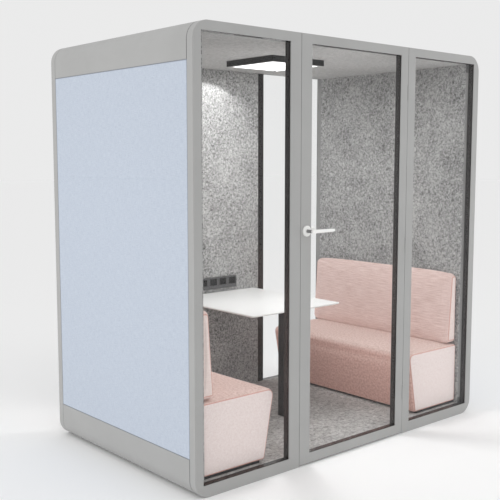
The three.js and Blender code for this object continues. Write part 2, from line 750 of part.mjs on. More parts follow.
// Benches, drawn from the wall towards the aisle
const benchWall = wallFace - fit;
const plinthTop = floorLevel + fit + plinthHeight;
const seatBottom = plinthTop + fit;
const seatCorners = [
  [0, seatBottom, seatRearRadius],
  [seatBottomDepth, seatBottom, seatFootRadius],
  [seatTopDepth, seatLevel, seatFrontRadius],
  [0, seatLevel, seatRearRadius],
];
const backCorners = [
  [0, backBottom, backRearRadius],
  [backBottomDepth, backBottom, backRadius],
  [backTopDepth, backTop, backRadius],
  [0, backTop, backRearTopRadius],
];
const seatForm = cushion(seatCorners, {
  length: benchLength - 2 * endCrown,
  endRadius: seatEndRadius,
  cornerRadius: seatEndRadius,
  crown: seatCrown,
});
const backForm = cushion(backCorners, {
  length: backLength - 2 * endCrown,
  endRadius: backEndRadius,
  cornerRadius: backCornerRadius,
  crown: backCrown,
});

for (const [side, sign] of [['left', -1], ['right', 1]]) {
  const seated = (form) => outwardFacing(form.clone().scale(-sign, 1, 1).translate(sign * benchWall, 0, 0));
  const near = sign * (benchWall - seatBottomDepth + plinthRecess);
  const far = sign * benchWall;
  const plinthEnd = benchLength / 2 - plinthEndRecess;
  place(`${side}_plinth`, block(Math.min(near, far), Math.max(near, far), -plinthEnd, plinthEnd,
    floorLevel + fit, plinthTop), blackPlastic);
  place(`${side}_seat`, seated(seatForm), pinkFabric);
  place(`${side}_backrest`, seated(backForm), pinkFabric);
}

export default pod;
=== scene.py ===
"""Looks of a four-seat acoustic pod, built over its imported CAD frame. Metres, +Z up, front towards -Y."""
import logging
import math
from dataclasses import dataclass, field
from enum import Enum

import bmesh
import bpy
import numpy as np
from mathutils import Matrix, Vector


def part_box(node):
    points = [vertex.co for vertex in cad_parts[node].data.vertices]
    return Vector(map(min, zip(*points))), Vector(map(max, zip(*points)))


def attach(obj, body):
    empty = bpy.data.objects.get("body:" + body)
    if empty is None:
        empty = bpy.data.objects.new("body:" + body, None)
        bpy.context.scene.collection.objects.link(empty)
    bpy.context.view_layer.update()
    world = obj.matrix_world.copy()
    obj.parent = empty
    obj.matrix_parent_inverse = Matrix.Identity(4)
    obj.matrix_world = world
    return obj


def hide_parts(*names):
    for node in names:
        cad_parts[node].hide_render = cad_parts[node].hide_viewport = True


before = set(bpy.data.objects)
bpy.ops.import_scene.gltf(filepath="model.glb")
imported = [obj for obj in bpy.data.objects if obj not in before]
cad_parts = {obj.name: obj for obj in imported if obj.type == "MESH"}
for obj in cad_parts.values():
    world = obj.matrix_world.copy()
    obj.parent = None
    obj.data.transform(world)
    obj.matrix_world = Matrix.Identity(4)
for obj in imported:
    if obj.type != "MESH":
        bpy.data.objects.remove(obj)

LOG = logging.getLogger("pod")
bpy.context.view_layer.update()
Colour = tuple[float, float, float, float]
Place = tuple[float, float, float]
Socket = bpy.types.NodeSocket
Link = Socket | float
SHADER = "Principled BSDF"
VALUE, COLOUR, VECTOR = "NodeSocketFloat", "NodeSocketColor", "NodeSocketVector"
WHITE: Colour = (1.0, 1.0, 1.0, 1.0)
# The part of a noise's range that is spread from 0 to 1, for crisp marks and for soft clouds.
CRISP, CLOUDY = (0.36, 0.64), (0.3, 0.7)
# The spindle's place along X, the neck's radius and where the neck starts behind the lever's face; the neck is
# painted grey as the shadow it sits in.
LEVER_X, NECK_RADIUS, NECK_START = -0.392, 0.0094, 0.0135
# Distances over which the painted shadow lines, along the shell's joint with the frames and along a panel's
# edge, fade out.
JOINT_SHADE_FADE, EDGE_SHADE_FADE = (0.002, 0.004), (0.0015, 0.006)


def srgb(red: float, green: float, blue: float) -> Colour:
    """Turns a colour written in 0 to 255 display values into the linear colour that shaders take.

    Args:
        red: Red, 0 to 255.
        green: Green, 0 to 255.
        blue: Blue, 0 to 255.

    Returns:
        Linear red, green, blue and an alpha of 1.
    """
    value = np.array([red, green, blue], float) / 255.0
    linear = np.where(value <= 0.04045, value / 12.92, ((value + 0.055) / 1.055) ** 2.4)
    return (float(linear[0]), float(linear[1]), float(linear[2]), 1.0)


class Plane(Enum):
    """The two axes that a flat cloth's threads follow."""

    SIDE = (1, 2)
    REAR = (0, 2)


class Zone(Enum):
    """Where a finish has its second tone."""

    UNDERSIDE = "faces that look down"
    # A grey strip on the reveal next to the outer wall: grey paint, toned darker than the frames' paint as
    # painted shade.
    OUTER_SIDE = "the side next to the outer wall"
    # Painted shadow: the neck behind the grip is coloured grey where it sits in shade.
    NECK = "the turned neck behind a lever's grip"
    # Painted shade: a dark grey line on the shell's edges where they meet the front and rear frames, standing
    # in for the shadow in that gap.
    JOINT_SHADE = "the shell's edges against the front and rear frames"


class Graph:
    """Adds and joins nodes in one node tree."""

    def __init__(self, tree: bpy.types.NodeTree) -> None:
        """Keeps the tree."""
        self.tree = tree

    def node(self, kind: str, inputs: dict | None = None, **attributes) -> bpy.types.Node:
        """Adds a node.

        Args:
            kind: Blender's name for the node's type.
            inputs: A value or a socket to join, by input name or number.
            attributes: Settings of the node itself.

        Returns:
            The new node.
        """
        made = self.tree.nodes.new(kind)
        for name, value in attributes.items():
            setattr(made, name, value)
        self.fill(made, inputs or {})
        return made

    def fill(self, node: bpy.types.Node, inputs: dict) -> None:
        """Joins sockets to inputs of a node, or sets the inputs' own values.

        Args:
            node: The node.
            inputs: A value or a socket to join, by input name or number.
        """
        for name, value in inputs.items():
            if isinstance(value, bpy.types.NodeSocket):
                self.tree.links.new(value, node.inputs[name])
            else:
                node.inputs[name].default_value = value

    def maths(self, operation: str, first: Link, second: Link = 0.0, third: Link = 0.0) -> Socket:
        """One Math node.

        Args:
            operation: Blender's name for the operation.
            first: First operand.
            second: Second operand.
            third: Third operand.

        Returns:
            The node's result.
        """
        made = self.node("ShaderNodeMath", {0: first, 1: second, 2: third}, operation=operation)
        return made.outputs[0]

    def blend(self, share: Link, low: object, high: object) -> Socket:
        """Mixes two colours by a share from 0 to 1."""
        made = self.node("ShaderNodeMix", {0: share, 6: low, 7: high}, data_type="RGBA")
        return made.outputs[2]

    def spread(self, value: Socket, low: float, high: float,
               to_low: float = 0.0, to_high: float = 1.0) -> Socket:
        """Maps a value from one span to another and clamps it."""
        made = self.node("ShaderNodeMapRange", {0: value, 1: low, 2: high, 3: to_low, 4: to_high}, clamp=True)
        return made.outputs[0]

    def split(self, vector: Socket) -> list[Socket]:
        """The three parts of a vector."""
        return list(self.node("ShaderNodeSeparateXYZ", {0: vector}).outputs)

    def gap(self, value: Socket, limit: float) -> Socket:
        """The distance of a value from a limit."""
        return self.maths("ABSOLUTE", self.maths("SUBTRACT", value, limit))

    def noise(self, place: Socket, scale: Link, detail: float = 3.0, rough: float = 0.55,
              warp: float = 0.0) -> Socket:
        """A noise value at a place.

        Args:
            place: Coordinates.
            scale: Blotches per metre.
            detail: Octaves.
            rough: Strength of the finer octaves.
            warp: Distortion.

        Returns:
            The noise, about 0.25 to 0.75.
        """
        made = self.node("ShaderNodeTexNoise", {"Vector": place, "Scale": scale, "Detail": detail,
                                                "Roughness": rough, "Distortion": warp})
        return made.outputs[0]


class Effects:
    """Shader node groups shared by the finishes, each built once."""

    def __init__(self) -> None:
        """Builds the groups."""
        self.mottle = self._mottle()
        self.weave = self._weave()
        self.skin = self._skin()

    @staticmethod
    def _group(name: str, inputs: list[tuple[str, str, object]], outputs: list[tuple[str, str]]) -> tuple:
        """Starts a group.

        Args:
            name: Name of the group.
            inputs: Name, socket type and value of each input.
            outputs: Name and socket type of each output.

        Returns:
            The group, its graph, its inputs by name and its output node.
        """
        group = bpy.data.node_groups.new(name, "ShaderNodeTree")
        for label, kind, value in inputs:
            socket = group.interface.new_socket(label, in_out="INPUT", socket_type=kind)
            if value is not None:
                socket.default_value = value
        for label, kind in outputs:
            group.interface.new_socket(label, in_out="OUTPUT", socket_type=kind)
        graph = Graph(group)
        return group, graph, graph.node("NodeGroupInput").outputs, graph.node("NodeGroupOutput")

    def _mottle(self) -> bpy.types.NodeTree:
        """Pressed fibres: coarse blotches and fine flecks, mixed from a dark to a light colour.

        Returns:
            The group.
        """
        group, graph, into, out = self._group(
            "pressed_fibre",
            [("Place", VECTOR, None), ("Blotches", VALUE, 60.0),
             ("Dark", COLOUR, None), ("Light", COLOUR, None)],
            [("Colour", COLOUR), ("Height", VALUE)])
        fine_rate, cloud_rate, coarse_share, cloud_share, fine_height = 4.3, 0.06, 0.62, 0.12, 0.7
        place, scale = into["Place"], into["Blotches"]
        coarse = graph.noise(place, scale, detail=4.0, rough=0.62, warp=0.9)
        fine = graph.noise(place, graph.maths("MULTIPLY", scale, fine_rate), detail=2.0, rough=0.5, warp=1.6)
        cloud = graph.noise(place, graph.maths("MULTIPLY", scale, cloud_rate), detail=2.0, rough=0.5)
        mix = graph.maths("MULTIPLY_ADD", coarse, coarse_share, graph.maths("MULTIPLY", fine, 1 - coarse_share))
        level = graph.maths("SUBTRACT", mix, cloud_share / 2)
        share = graph.spread(graph.maths("MULTIPLY_ADD", cloud, cloud_share, level), *CRISP)
        graph.fill(out, {"Colour": graph.blend(share, into["Dark"], into["Light"]),
                         "Height": graph.maths("MULTIPLY_ADD", fine, fine_height, coarse)})
        return group

    def _weave(self) -> bpy.types.NodeTree:
        """Plain weave: of two rounded threads the upper one swaps in a chequer, with uneven yarn along each.

        Returns:
            The group.
        """
        group, graph, into, out = self._group(
            "plain_weave",
            [("Across", VALUE, 0.0), ("Along", VALUE, 0.0), ("Threads", VALUE, 300.0),
             ("Dark", COLOUR, None), ("Light", COLOUR, None)],
            [("Colour", COLOUR), ("Height", VALUE)])
        thick_rate, long_rate, thread_share, yarn_share, yarn_height = 420.0, 26.0, 0.45, 0.6, 0.5
        across, along = into["Across"], into["Along"]
        turns = graph.maths("MULTIPLY", into["Threads"], math.pi)
        warp = graph.maths("SINE", graph.maths("MULTIPLY", across, turns))
        weft = graph.maths("SINE", graph.maths("MULTIPLY", along, turns))
        chequer = graph.maths("GREATER_THAN", graph.maths("MULTIPLY", warp, weft), 0.0)
        over, under = graph.maths("ABSOLUTE", warp), graph.maths("ABSOLUTE", weft)
        height = graph.maths("MULTIPLY_ADD", chequer, graph.maths("SUBTRACT", over, under), under)

        def yarn(first: Socket, second: Socket) -> Socket:
            """Noise stretched along one thread."""
            flat = graph.node("ShaderNodeCombineXYZ", {0: graph.maths("MULTIPLY", first, thick_rate),
                                                       1: graph.maths("MULTIPLY", second, long_rate)})
            return graph.noise(flat.outputs[0], 1.0, detail=2.0, rough=0.6)

        slub = graph.maths("MULTIPLY", graph.maths("ADD", yarn(across, along), yarn(along, across)), 0.5)
        uneven = graph.spread(slub, *CRISP, 0.0, yarn_share)
        share = graph.maths("MULTIPLY_ADD", height, thread_share, uneven)
        graph.fill(out, {"Colour": graph.blend(share, into["Dark"], into["Light"]),
                         "Height": graph.maths("MULTIPLY_ADD", slub, yarn_height, height)})
        return group

    def _skin(self) -> bpy.types.NodeTree:
        """Hard skin: faint cloudy tone, fine orange peel and a roughness that wanders with handling.

        Returns:
            The group.
        """
        group, graph, into, out = self._group(
            "hard_skin",
            [("Place", VECTOR, None), ("Grain", VALUE, 900.0), ("Dark", COLOUR, None), ("Light", COLOUR, None),
             ("Rough low", VALUE, 0.4), ("Rough high", VALUE, 0.55)],
            [("Colour", COLOUR), ("Roughness", VALUE), ("Height", VALUE)])
        cloud_rate, wipe_rate, peel_share, cloud_share = 3.0, 11.0, 0.3, 0.7
        place, low = into["Place"], into["Rough low"]
        cloud = graph.spread(graph.noise(place, cloud_rate, detail=4.0, rough=0.6, warp=0.4), *CLOUDY)
        wipe = graph.spread(graph.noise(place, wipe_rate, detail=5.0, rough=0.7, warp=1.2), *CLOUDY)
        peel = graph.noise(place, into["Grain"], detail=2.0, rough=0.5)
        share = graph.maths("MULTIPLY_ADD", peel, peel_share, graph.maths("MULTIPLY", cloud, cloud_share))
        span = graph.maths("SUBTRACT", into["Rough high"], low)
        graph.fill(out, {"Colour": graph.blend(share, into["Dark"], into["Light"]),
                         "Roughness": graph.maths("MULTIPLY_ADD", wipe, span, low), "Height": peel})
        return group


@dataclass(frozen=True)
class Finish:
    """A finish with a name and a pair of near tones."""

    name: str
    dark: Colour
    light: Colour

    def material(self, effects: Effects) -> bpy.types.Material:
        """Makes the material; every kind of finish has its own way."""
        raise NotImplementedError(self.name)

    def start(self) -> tuple[bpy.types.Material, Graph, bpy.types.Node, Socket]:
        """Starts a material.

        Returns:
            The material, its graph, its Principled shader and the object coordinates.
        """
        material = bpy.data.materials.new(self.name)
        material.use_nodes = True
        graph = Graph(material.node_tree)
        place = graph.node("ShaderNodeTexCoord").outputs["Object"]
        return material, graph, material.node_tree.nodes[SHADER], place

    def bump(self, graph: Graph, shader: bpy.types.Node, height: Socket, depth: float) -> None:
        """Feeds a height of a given depth in metres to the shader's normal."""
        bump = graph.node("ShaderNodeBump", {"Height": height, "Distance": depth, "Strength": 1.0})
        graph.fill(shader, {"Normal": bump.outputs[0]})


@dataclass(frozen=True)
class HardFinish(Finish):
    """Paint, laminate or plastic with a fine skin."""

    rough: tuple[float, float] = (0.4, 0.55)
    grain: float = 900.0
    depth: float = 0.00006
    metal: float = 0.0

    def material(self, effects: Effects) -> bpy.types.Material:
        """Makes the material from the shared skin.

        Args:
            effects: Shared node groups.

        Returns:
            The material.
        """
        material, graph, shader, place = self.start()
        skin = graph.node("ShaderNodeGroup", {
            "Place": place, "Grain": self.grain, "Dark": self.dark, "Light": self.light,
            "Rough low": self.rough[0], "Rough high": self.rough[1]}, node_tree=effects.skin).outputs
        graph.fill(shader, {"Base Color": skin["Colour"], "Roughness": skin["Roughness"],
                            "Metallic": self.metal})
        self.bump(graph, shader, skin["Height"], self.depth)
        return material


@dataclass(frozen=True)
class TwoToneFinish(HardFinish):
    """A hard finish with a second tone on part of the piece."""

    second_dark: Colour = (0.2, 0.2, 0.2, 1.0)
    second_light: Colour = (0.25, 0.25, 0.25, 1.0)
    second_rough: float = 0.5
    where: Zone = Zone.UNDERSIDE

    def material(self, effects: Effects) -> bpy.types.Material:
        """Makes the hard finish and lays the second tone over its zone.

        Args:
            effects: Shared node groups.

        Returns:
            The material.
        """
        material = super().material(effects)
        graph = Graph(material.node_tree)
        shader = material.node_tree.nodes[SHADER]
        place = graph.node("ShaderNodeTexCoord").outputs["Object"]
        mask = self.zone(graph, place)
        cloud_rate = 9.0
        second = graph.blend(graph.noise(place, cloud_rate), self.second_dark, self.second_light)
        tone = shader.inputs["Base Color"].links[0].from_socket
        rough = shader.inputs["Roughness"].links[0].from_socket
        wanted = graph.maths("SUBTRACT", self.second_rough, rough)
        graph.fill(shader, {"Base Color": graph.blend(mask, tone, second),
                            "Roughness": graph.maths("MULTIPLY_ADD", wanted, mask, rough)})
        return material

    def zone(self, graph: Graph, place: Socket) -> Socket:
        """A mask that is 1 on the second tone's part of the piece.

        Args:
            graph: Graph of the material.
            place: Object coordinates.

        Returns:
            The mask.
        """
        downward, wall_from = -0.5, 0.9
        axes = graph.split(place)
        if self.where is Zone.UNDERSIDE:
            normal = graph.node("ShaderNodeNewGeometry").outputs["Normal"]
            return graph.maths("LESS_THAN", graph.split(normal)[2], downward)
        # Grey paint on the outer side, darker than the frame paint because its shade is painted in.
        if self.where is Zone.OUTER_SIDE:
            return graph.maths("GREATER_THAN", graph.maths("ABSOLUTE", axes[0]), wall_from)
        # A dark line painted along the shell's joints with the frames, as the shadow in the gap.
        if self.where is Zone.JOINT_SHADE:
            gaps = [graph.gap(axes[1], corner.y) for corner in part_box("roof_shell")]
            return graph.spread(graph.maths("MINIMUM", gaps[0], gaps[1]), *JOINT_SHADE_FADE, 1.0, 0.0)
        # The neck behind the grip gets a grey painted shadow.
        low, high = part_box("outer_lever")
        squares = [graph.maths("POWER", graph.maths("SUBTRACT", axes[axis], centre), 2.0)
                   for axis, centre in ((0, LEVER_X), (2, (low.z + high.z) / 2))]
        neck = graph.maths("LESS_THAN", graph.maths("ADD", squares[0], squares[1]), NECK_RADIUS ** 2)
        return graph.maths("MULTIPLY", neck, graph.maths("GREATER_THAN", axes[1], low.y + NECK_START))


@dataclass(frozen=True)
class FeltFinish(Finish):
    """Pressed felt or short carpet."""

    blotches: float = 60.0
    depth: float = 0.0012

    def material(self, effects: Effects) -> bpy.types.Material:
        """Makes the material from the shared fibre.

        Args:
            effects: Shared node groups.

        Returns:
            The material.
        """
        material, graph, shader, place = self.start()
        fibre = graph.node("ShaderNodeGroup", {
            "Place": place, "Blotches": self.blotches, "Dark": self.dark, "Light": self.light},
            node_tree=effects.mottle).outputs
        graph.fill(shader, {"Base Color": fibre["Colour"], "Roughness": 1.0, "Specular IOR Level": 0.1,
                            "Sheen Weight": 0.1})
        self.bump(graph, shader, fibre["Height"], self.depth)
        return material


@dataclass(frozen=True)
class PanelCloth(Finish):
    """Cloth stretched over a flat board."""

    # Darker blue painted along the panels' edges as the shadow in the gap against the shell.
    edge_shade: Colour = (0.2, 0.2, 0.25, 1.0)
    nodes: tuple[str, str] = ("left_fabric_lower", "left_fabric_upper")
    plane: Plane = Plane.SIDE
    threads: float = 330.0
    depth: float = 0.0004
    melange_rate: float = 120.0
    melange_share: float = 0.4
    edge_shade_share: float = 0.75

    def material(self, effects: Effects) -> bpy.types.Material:
        """Makes the material from the shared weave, its threads along two axes.

        Args:
            effects: Shared node groups.

        Returns:
            The material.
        """
        material, graph, shader, place = self.start()
        axes = graph.split(place)
        across, along = self.plane.value
        cloth = graph.node("ShaderNodeGroup", {
            "Across": axes[across], "Along": axes[along], "Threads": self.threads,
            "Dark": self.dark, "Light": self.light}, node_tree=effects.weave).outputs
        melange = graph.spread(graph.noise(place, self.melange_rate, rough=0.65), 0.34, 0.66)
        colour = graph.blend(graph.maths("MULTIPLY", melange, self.melange_share), cloth["Colour"], self.light)
        # Painted shade: the panels' edges blend towards the darker blue.
        edge_shaded = graph.maths("MULTIPLY", self.edges(graph, axes), self.edge_shade_share)
        graph.fill(shader, {"Base Color": graph.blend(edge_shaded, colour, self.edge_shade), "Roughness": 0.95,
                            "Specular IOR Level": 0.15, "Sheen Weight": 0.15})
        self.bump(graph, shader, cloth["Height"], self.depth)
        return material

    def edges(self, graph: Graph, axes: list[Socket]) -> Socket:
        """A mask along the outline of the panels, where a shadow line is painted in the gap against the shell.

        Args:
            graph: Graph of the material.
            axes: The three object coordinates.

        Returns:
            The mask.
        """
        first, last = (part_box(n) for n in self.nodes)
        masks = [graph.spread(graph.gap(axes[axis], limit), *EDGE_SHADE_FADE, 1.0, 0.0)
                 for axis in self.plane.value for limit in (first[0][axis], last[1][axis])]
        upright = graph.maths("MAXIMUM", masks[0], masks[1])
        return graph.maths("MAXIMUM", upright, graph.maths("MAXIMUM", masks[2], masks[3]))


@dataclass(frozen=True)
class CushionCloth(Finish):
    """Upholstery whose threads follow the piece's thread map, with stitched seams and end panels painted paler:
    partly their own paler cloth, partly painted light where they face the lamps.
    """

    end_lit_dark: Colour = (0.7, 0.6, 0.6, 1.0)
    end_lit_light: Colour = (0.8, 0.7, 0.7, 1.0)
    shaded_dark: Colour = (0.6, 0.4, 0.4, 1.0)
    shaded_light: Colour = (0.7, 0.5, 0.5, 1.0)
    fleck: tuple[float, float] = (150.0, 150.0)
    fleck_share: float = 0.4
    fleck_height: float = 0.5
    end_fleck_share: float = 0.4
    shade_facing: tuple[float, float] = (-0.25, 0.7)
    threads: float = 360.0
    depth: float = 0.0005
    stitch_pitch: float = 0.007
    stitch_inset: float = 0.0075
    stitch_half: tuple[float, float] = (0.0004, 0.0009)
    stitch_beat: tuple[float, float] = (-0.6, -0.3)
    stitch_share: float = 0.55
    stitch_height: float = 1.4

    def material(self, effects: Effects) -> bpy.types.Material:
        """Makes the material from the shared weave, read on the thread map.

        Faces that look away from above get a deeper, redder tone: painted shade standing in for the reddish
        bounced light there.

        Args:
            effects: Shared node groups.

        Returns:
            The material.
        """
        material, graph, shader, _ = self.start()
        axes = graph.split(graph.node("ShaderNodeAttribute", attribute_name="threads").outputs["Vector"])
        panel = graph.node("ShaderNodeAttribute", attribute_name="end").outputs["Fac"]
        # Painted shade: a deeper, redder colour on faces that turn away from above.
        up = graph.split(graph.node("ShaderNodeNewGeometry").outputs["Normal"])[2]
        top = graph.maths("MAXIMUM", graph.spread(up, *self.shade_facing), panel)
        # The end panels' paler tones are partly painted light, where the ends face the front lamps.
        dark = graph.blend(panel, graph.blend(top, self.shaded_dark, self.dark), self.end_lit_dark)
        light = graph.blend(panel, graph.blend(top, self.shaded_light, self.light), self.end_lit_light)
        cloth = graph.node("ShaderNodeGroup", {
            "Across": axes[0], "Along": axes[1], "Threads": self.threads, "Dark": dark, "Light": light},
            node_tree=effects.weave).outputs
        flat = graph.node("ShaderNodeCombineXYZ", {
            i: graph.maths("MULTIPLY", axes[i], self.fleck[i]) for i in (0, 1)}).outputs[0]
        fleck = graph.spread(graph.noise(flat, 1.0, detail=2.0, rough=0.6), *CRISP)
        less = (self.end_fleck_share - 1) * self.fleck_share
        share = graph.maths("MULTIPLY_ADD", panel, less, self.fleck_share)
        colour = graph.blend(share, cloth["Colour"], graph.blend(fleck, dark, light))
        stitch = self.stitches(graph)
        colour = graph.blend(graph.maths("MULTIPLY", stitch, self.stitch_share), colour, self.end_lit_light)
        woven = graph.maths("MULTIPLY_ADD", fleck, self.fleck_height, cloth["Height"])
        graph.fill(shader, {"Base Color": colour, "Roughness": 0.95, "Specular IOR Level": 0.12,
                            "Sheen Weight": 0.2, "Sheen Roughness": 0.5})
        self.bump(graph, shader, graph.maths("MULTIPLY_ADD", stitch, self.stitch_height, woven), self.depth)
        return material

    def stitches(self, graph: Graph) -> Socket:
        """A mask of short stitches in a row on either side of each seam, read on the seam map.

        Args:
            graph: Graph of the material.

        Returns:
            The mask.
        """
        seam = graph.node("ShaderNodeAttribute", attribute_name="seam").outputs["Vector"]
        away, run, _ = graph.split(seam)
        row = graph.spread(graph.gap(away, self.stitch_inset), *self.stitch_half, 1.0, 0.0)
        beat = graph.maths("SINE", graph.maths("MULTIPLY", run, 2 * math.pi / self.stitch_pitch))
        return graph.maths("MULTIPLY", row, graph.spread(beat, *self.stitch_beat))


@dataclass(frozen=True)
class GlassFinish(Finish):
    """Clear pane that lets soft light through."""

    index: float = 1.22
    smear_rate: float = 2.5
    smear_rough: float = 0.012

    def material(self, effects: Effects) -> bpy.types.Material:
        """Makes a clear shader that is plainly see-through to shadow and diffuse rays.

        Args:
            effects: Shared node groups; not used.

        Returns:
            The material.
        """
        material, graph, shader, place = self.start()
        smear = graph.noise(place, self.smear_rate, rough=0.6, warp=0.8)
        graph.fill(shader, {"Base Color": graph.blend(smear, self.dark, self.light),
                            "Roughness": graph.spread(smear, *CLOUDY, 0.0, self.smear_rough),
                            "Transmission Weight": 1.0, "IOR": self.index})
        clear = graph.node("ShaderNodeBsdfTransparent", {0: WHITE})
        path = graph.node("ShaderNodeLightPath")
        soft = graph.maths("MAXIMUM", path.outputs["Is Shadow Ray"], path.outputs["Is Diffuse Ray"])
        mix = graph.node("ShaderNodeMixShader", {0: soft, 1: shader.outputs[0], 2: clear.outputs[0]})
        graph.fill(material.node_tree.nodes["Material Output"], {"Surface": mix.outputs[0]})
        return material


@dataclass(frozen=True)
class LampFinish(Finish):
    """Opal sheet that glows, a little less towards its edge."""

    centre: tuple[float, float] = (0.0, 0.0)
    half: tuple[float, float] = (0.2, 0.2)
    strength: float = 1.6
    edge_from: float = 0.9
    edge_glow: float = 0.86

    def material(self, effects: Effects) -> bpy.types.Material:
        """Makes the glow fall off over the last part of the sheet's width and length.

        Args:
            effects: Shared node groups; not used.

        Returns:
            The material.
        """
        material, graph, shader, place = self.start()
        axes = graph.split(place)
        edge = [graph.spread(graph.gap(axes[i], self.centre[i]), self.half[i] * self.edge_from, self.half[i],
                             1.0, self.edge_glow) for i in (0, 1)]
        tone = graph.blend(graph.maths("MULTIPLY", edge[0], edge[1]), self.dark, self.light)
        graph.fill(shader, {"Base Color": tone, "Emission Color": tone, "Emission Strength": self.strength,
                            "Roughness": 0.6})
        return material


@dataclass
class Workshop:
    """Dresses CAD nodes and turns arrays into pieces."""

    effects: Effects
    made: dict[str, bpy.types.Material] = field(default_factory=dict)
    merge_gap: float = 1e-5
    flat_angle: float = 0.5

    def finish(self, finish: Finish) -> bpy.types.Material:
        """Gives the material of a finish, made once.

        Args:
            finish: The finish.

        Returns:
            Its material.
        """
        if finish.name not in self.made:
            self.made[finish.name] = finish.material(self.effects)
        return self.made[finish.name]

    def dress(self, names: list[str], finish: Finish) -> None:
        """Puts a finish on CAD nodes whose shape is right.

        Args:
            names: The nodes.
            finish: Their finish.
        """
        for name in names:
            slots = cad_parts[name].data.materials
            slots.clear()
            slots.append(self.finish(finish))
            LOG.info("dressed %s with %s", name, finish.name)

    def smooth(self, names: list[str], finish: Finish, body: str = "pod", angle: float = 32.0) -> None:
        """Replaces CAD nodes by merged copies that shade smoothly below an edge angle.

        Args:
            names: Nodes to copy.
            finish: Their finish.
            body: Body that carries them.
            angle: Edges sharper than this, in degrees, stay sharp.
        """
        for name in names:
            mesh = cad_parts[name].data.copy()
            work = bmesh.new()
            work.from_mesh(mesh)
            bmesh.ops.remove_doubles(work, verts=work.verts, dist=self.merge_gap)
            bmesh.ops.dissolve_limit(work, angle_limit=math.radians(self.flat_angle),
                                     verts=work.verts, edges=work.edges)
            work.to_mesh(mesh)
            work.free()
            for layer in [a.name for a in mesh.attributes if a.name in ("custom_normal", "sharp_face")]:
                mesh.attributes.remove(mesh.attributes[layer])
            mesh.shade_smooth()
            mesh.set_sharp_from_angle(angle=math.radians(angle))
            mesh.materials.clear()
            self.seat(mesh, f"{name}_skin", finish, body, name)

    def seat(self, mesh: bpy.types.Mesh, name: str, finish: Finish, body: str,
             *nodes: str) -> bpy.types.Object:
        """Makes a piece of a mesh that lies in its place.

        Args:
            mesh: The mesh, in the frame's coordinates.
            name: The piece's name.
            finish: Its finish.
            body: Body that carries it.
            nodes: CAD nodes that it stands for.

        Returns:
            The new object.
        """
        piece = bpy.data.objects.new(name, mesh)
        bpy.context.scene.collection.objects.link(piece)
        mesh.materials.append(self.finish(finish))
        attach(piece, body)
        if nodes:
            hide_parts(*nodes)
        LOG.info("built %s, %d faces", name, len(mesh.polygons))
        return piece


def mesh_of(name: str, points: np.ndarray, faces: list) -> bpy.types.Mesh:
    """Makes a smooth mesh.

    Args:
        name: The mesh's name.
        points: Vertices, one row each.
        faces: Vertex numbers of each face.

    Returns:
        The mesh, with its faces turned outwards.
    """
    mesh = bpy.data.meshes.new(name)
    mesh.from_pydata(points.tolist(), [], faces)
    work = bmesh.new()
    work.from_mesh(mesh)
    bmesh.ops.recalc_face_normals(work, faces=work.faces)
    work.to_mesh(mesh)
    work.free()
    mesh.shade_smooth()
    return mesh


def grid_faces(rows: int, columns: int, closed_rows: bool = False) -> np.ndarray:
    """Quads of a grid whose columns close on themselves.

    Args:
        rows: Rows of points.
        columns: Points in a row.
        closed_rows: Whether the last row joins the first.

    Returns:
        Four vertex numbers for each quad.
    """
    last = rows if closed_rows else rows - 1
    row, column = np.meshgrid(np.arange(last), np.arange(columns), indexing="ij")
    after, beside = (row + 1) % rows, (column + 1) % columns
    quad = [row * columns + column, row * columns + beside,
            after * columns + beside, after * columns + column]
    return np.stack(quad, -1).reshape(-1, 4)


def closed_faces(rows: int, columns: int) -> list[list[int]]:
    """Quads of a grid of closed rings, and the two faces that close its ends."""
    ends = [list(range(columns)), list(range((rows - 1) * columns, rows * columns))]
    return grid_faces(rows, columns).tolist() + ends


def tube(path: np.ndarray, outward: np.ndarray, radius: float,
         sides: int = 8) -> tuple[np.ndarray, np.ndarray]:
    """A round bead along a closed path: at each point a circle in the plane across the path.

    Args:
        path: Points of the closed path.
        outward: Unit vectors across the path.
        radius: Radius of the bead.
        sides: Points round it.

    Returns:
        Vertices and quads.
    """
    along = np.roll(path, -1, 0) - np.roll(path, 1, 0)
    along /= np.linalg.norm(along, axis=1, keepdims=True)
    third = np.cross(along, outward)
    third /= np.linalg.norm(third, axis=1, keepdims=True)
    turn = np.linspace(0, 2 * np.pi, sides, endpoint=False)[None, :, None]
    points = path[:, None] + radius * (np.cos(turn) * outward[:, None] + np.sin(turn) * third[:, None])
    return points.reshape(-1, 3), grid_faces(len(path), sides, closed_rows=True)


@dataclass(frozen=True)
class CoverCloth:
    """How the cloth of a cushion's cover behaves in the simulation."""

    steps: int = 20
    quality: int = 3
    mass: float = 0.15
    stretch: float = 8.0
    shear: float = 4.0
    bend: float = 2.0
    pressure: float = 4.0
    shrink: float = -0.001
    let_go: float = 0.92

    def apply(self, cover: bpy.types.Object, held: str) -> None:
        """Puts the cloth on a cover, without gravity or collisions.

        Args:
            cover: The cover.
            held: Vertex group that says how fast each point is held.
        """
        cloth = cover.modifiers.new("cover", "CLOTH")
        setup = cloth.settings
        setup.quality, setup.mass = self.quality, self.mass
        setup.tension_stiffness = setup.compression_stiffness = self.stretch
        setup.shear_stiffness, setup.bending_stiffness = self.shear, self.bend
        setup.use_pressure, setup.uniform_pressure_force = True, self.pressure
        setup.shrink_min = self.shrink
        setup.vertex_group_mass, setup.pin_stiffness = held, 1.0
        setup.effector_weights.gravity = 0.0
        cloth.collision_settings.use_collision = False
        cloth.point_cache.frame_start, cloth.point_cache.frame_end = 1, self.steps


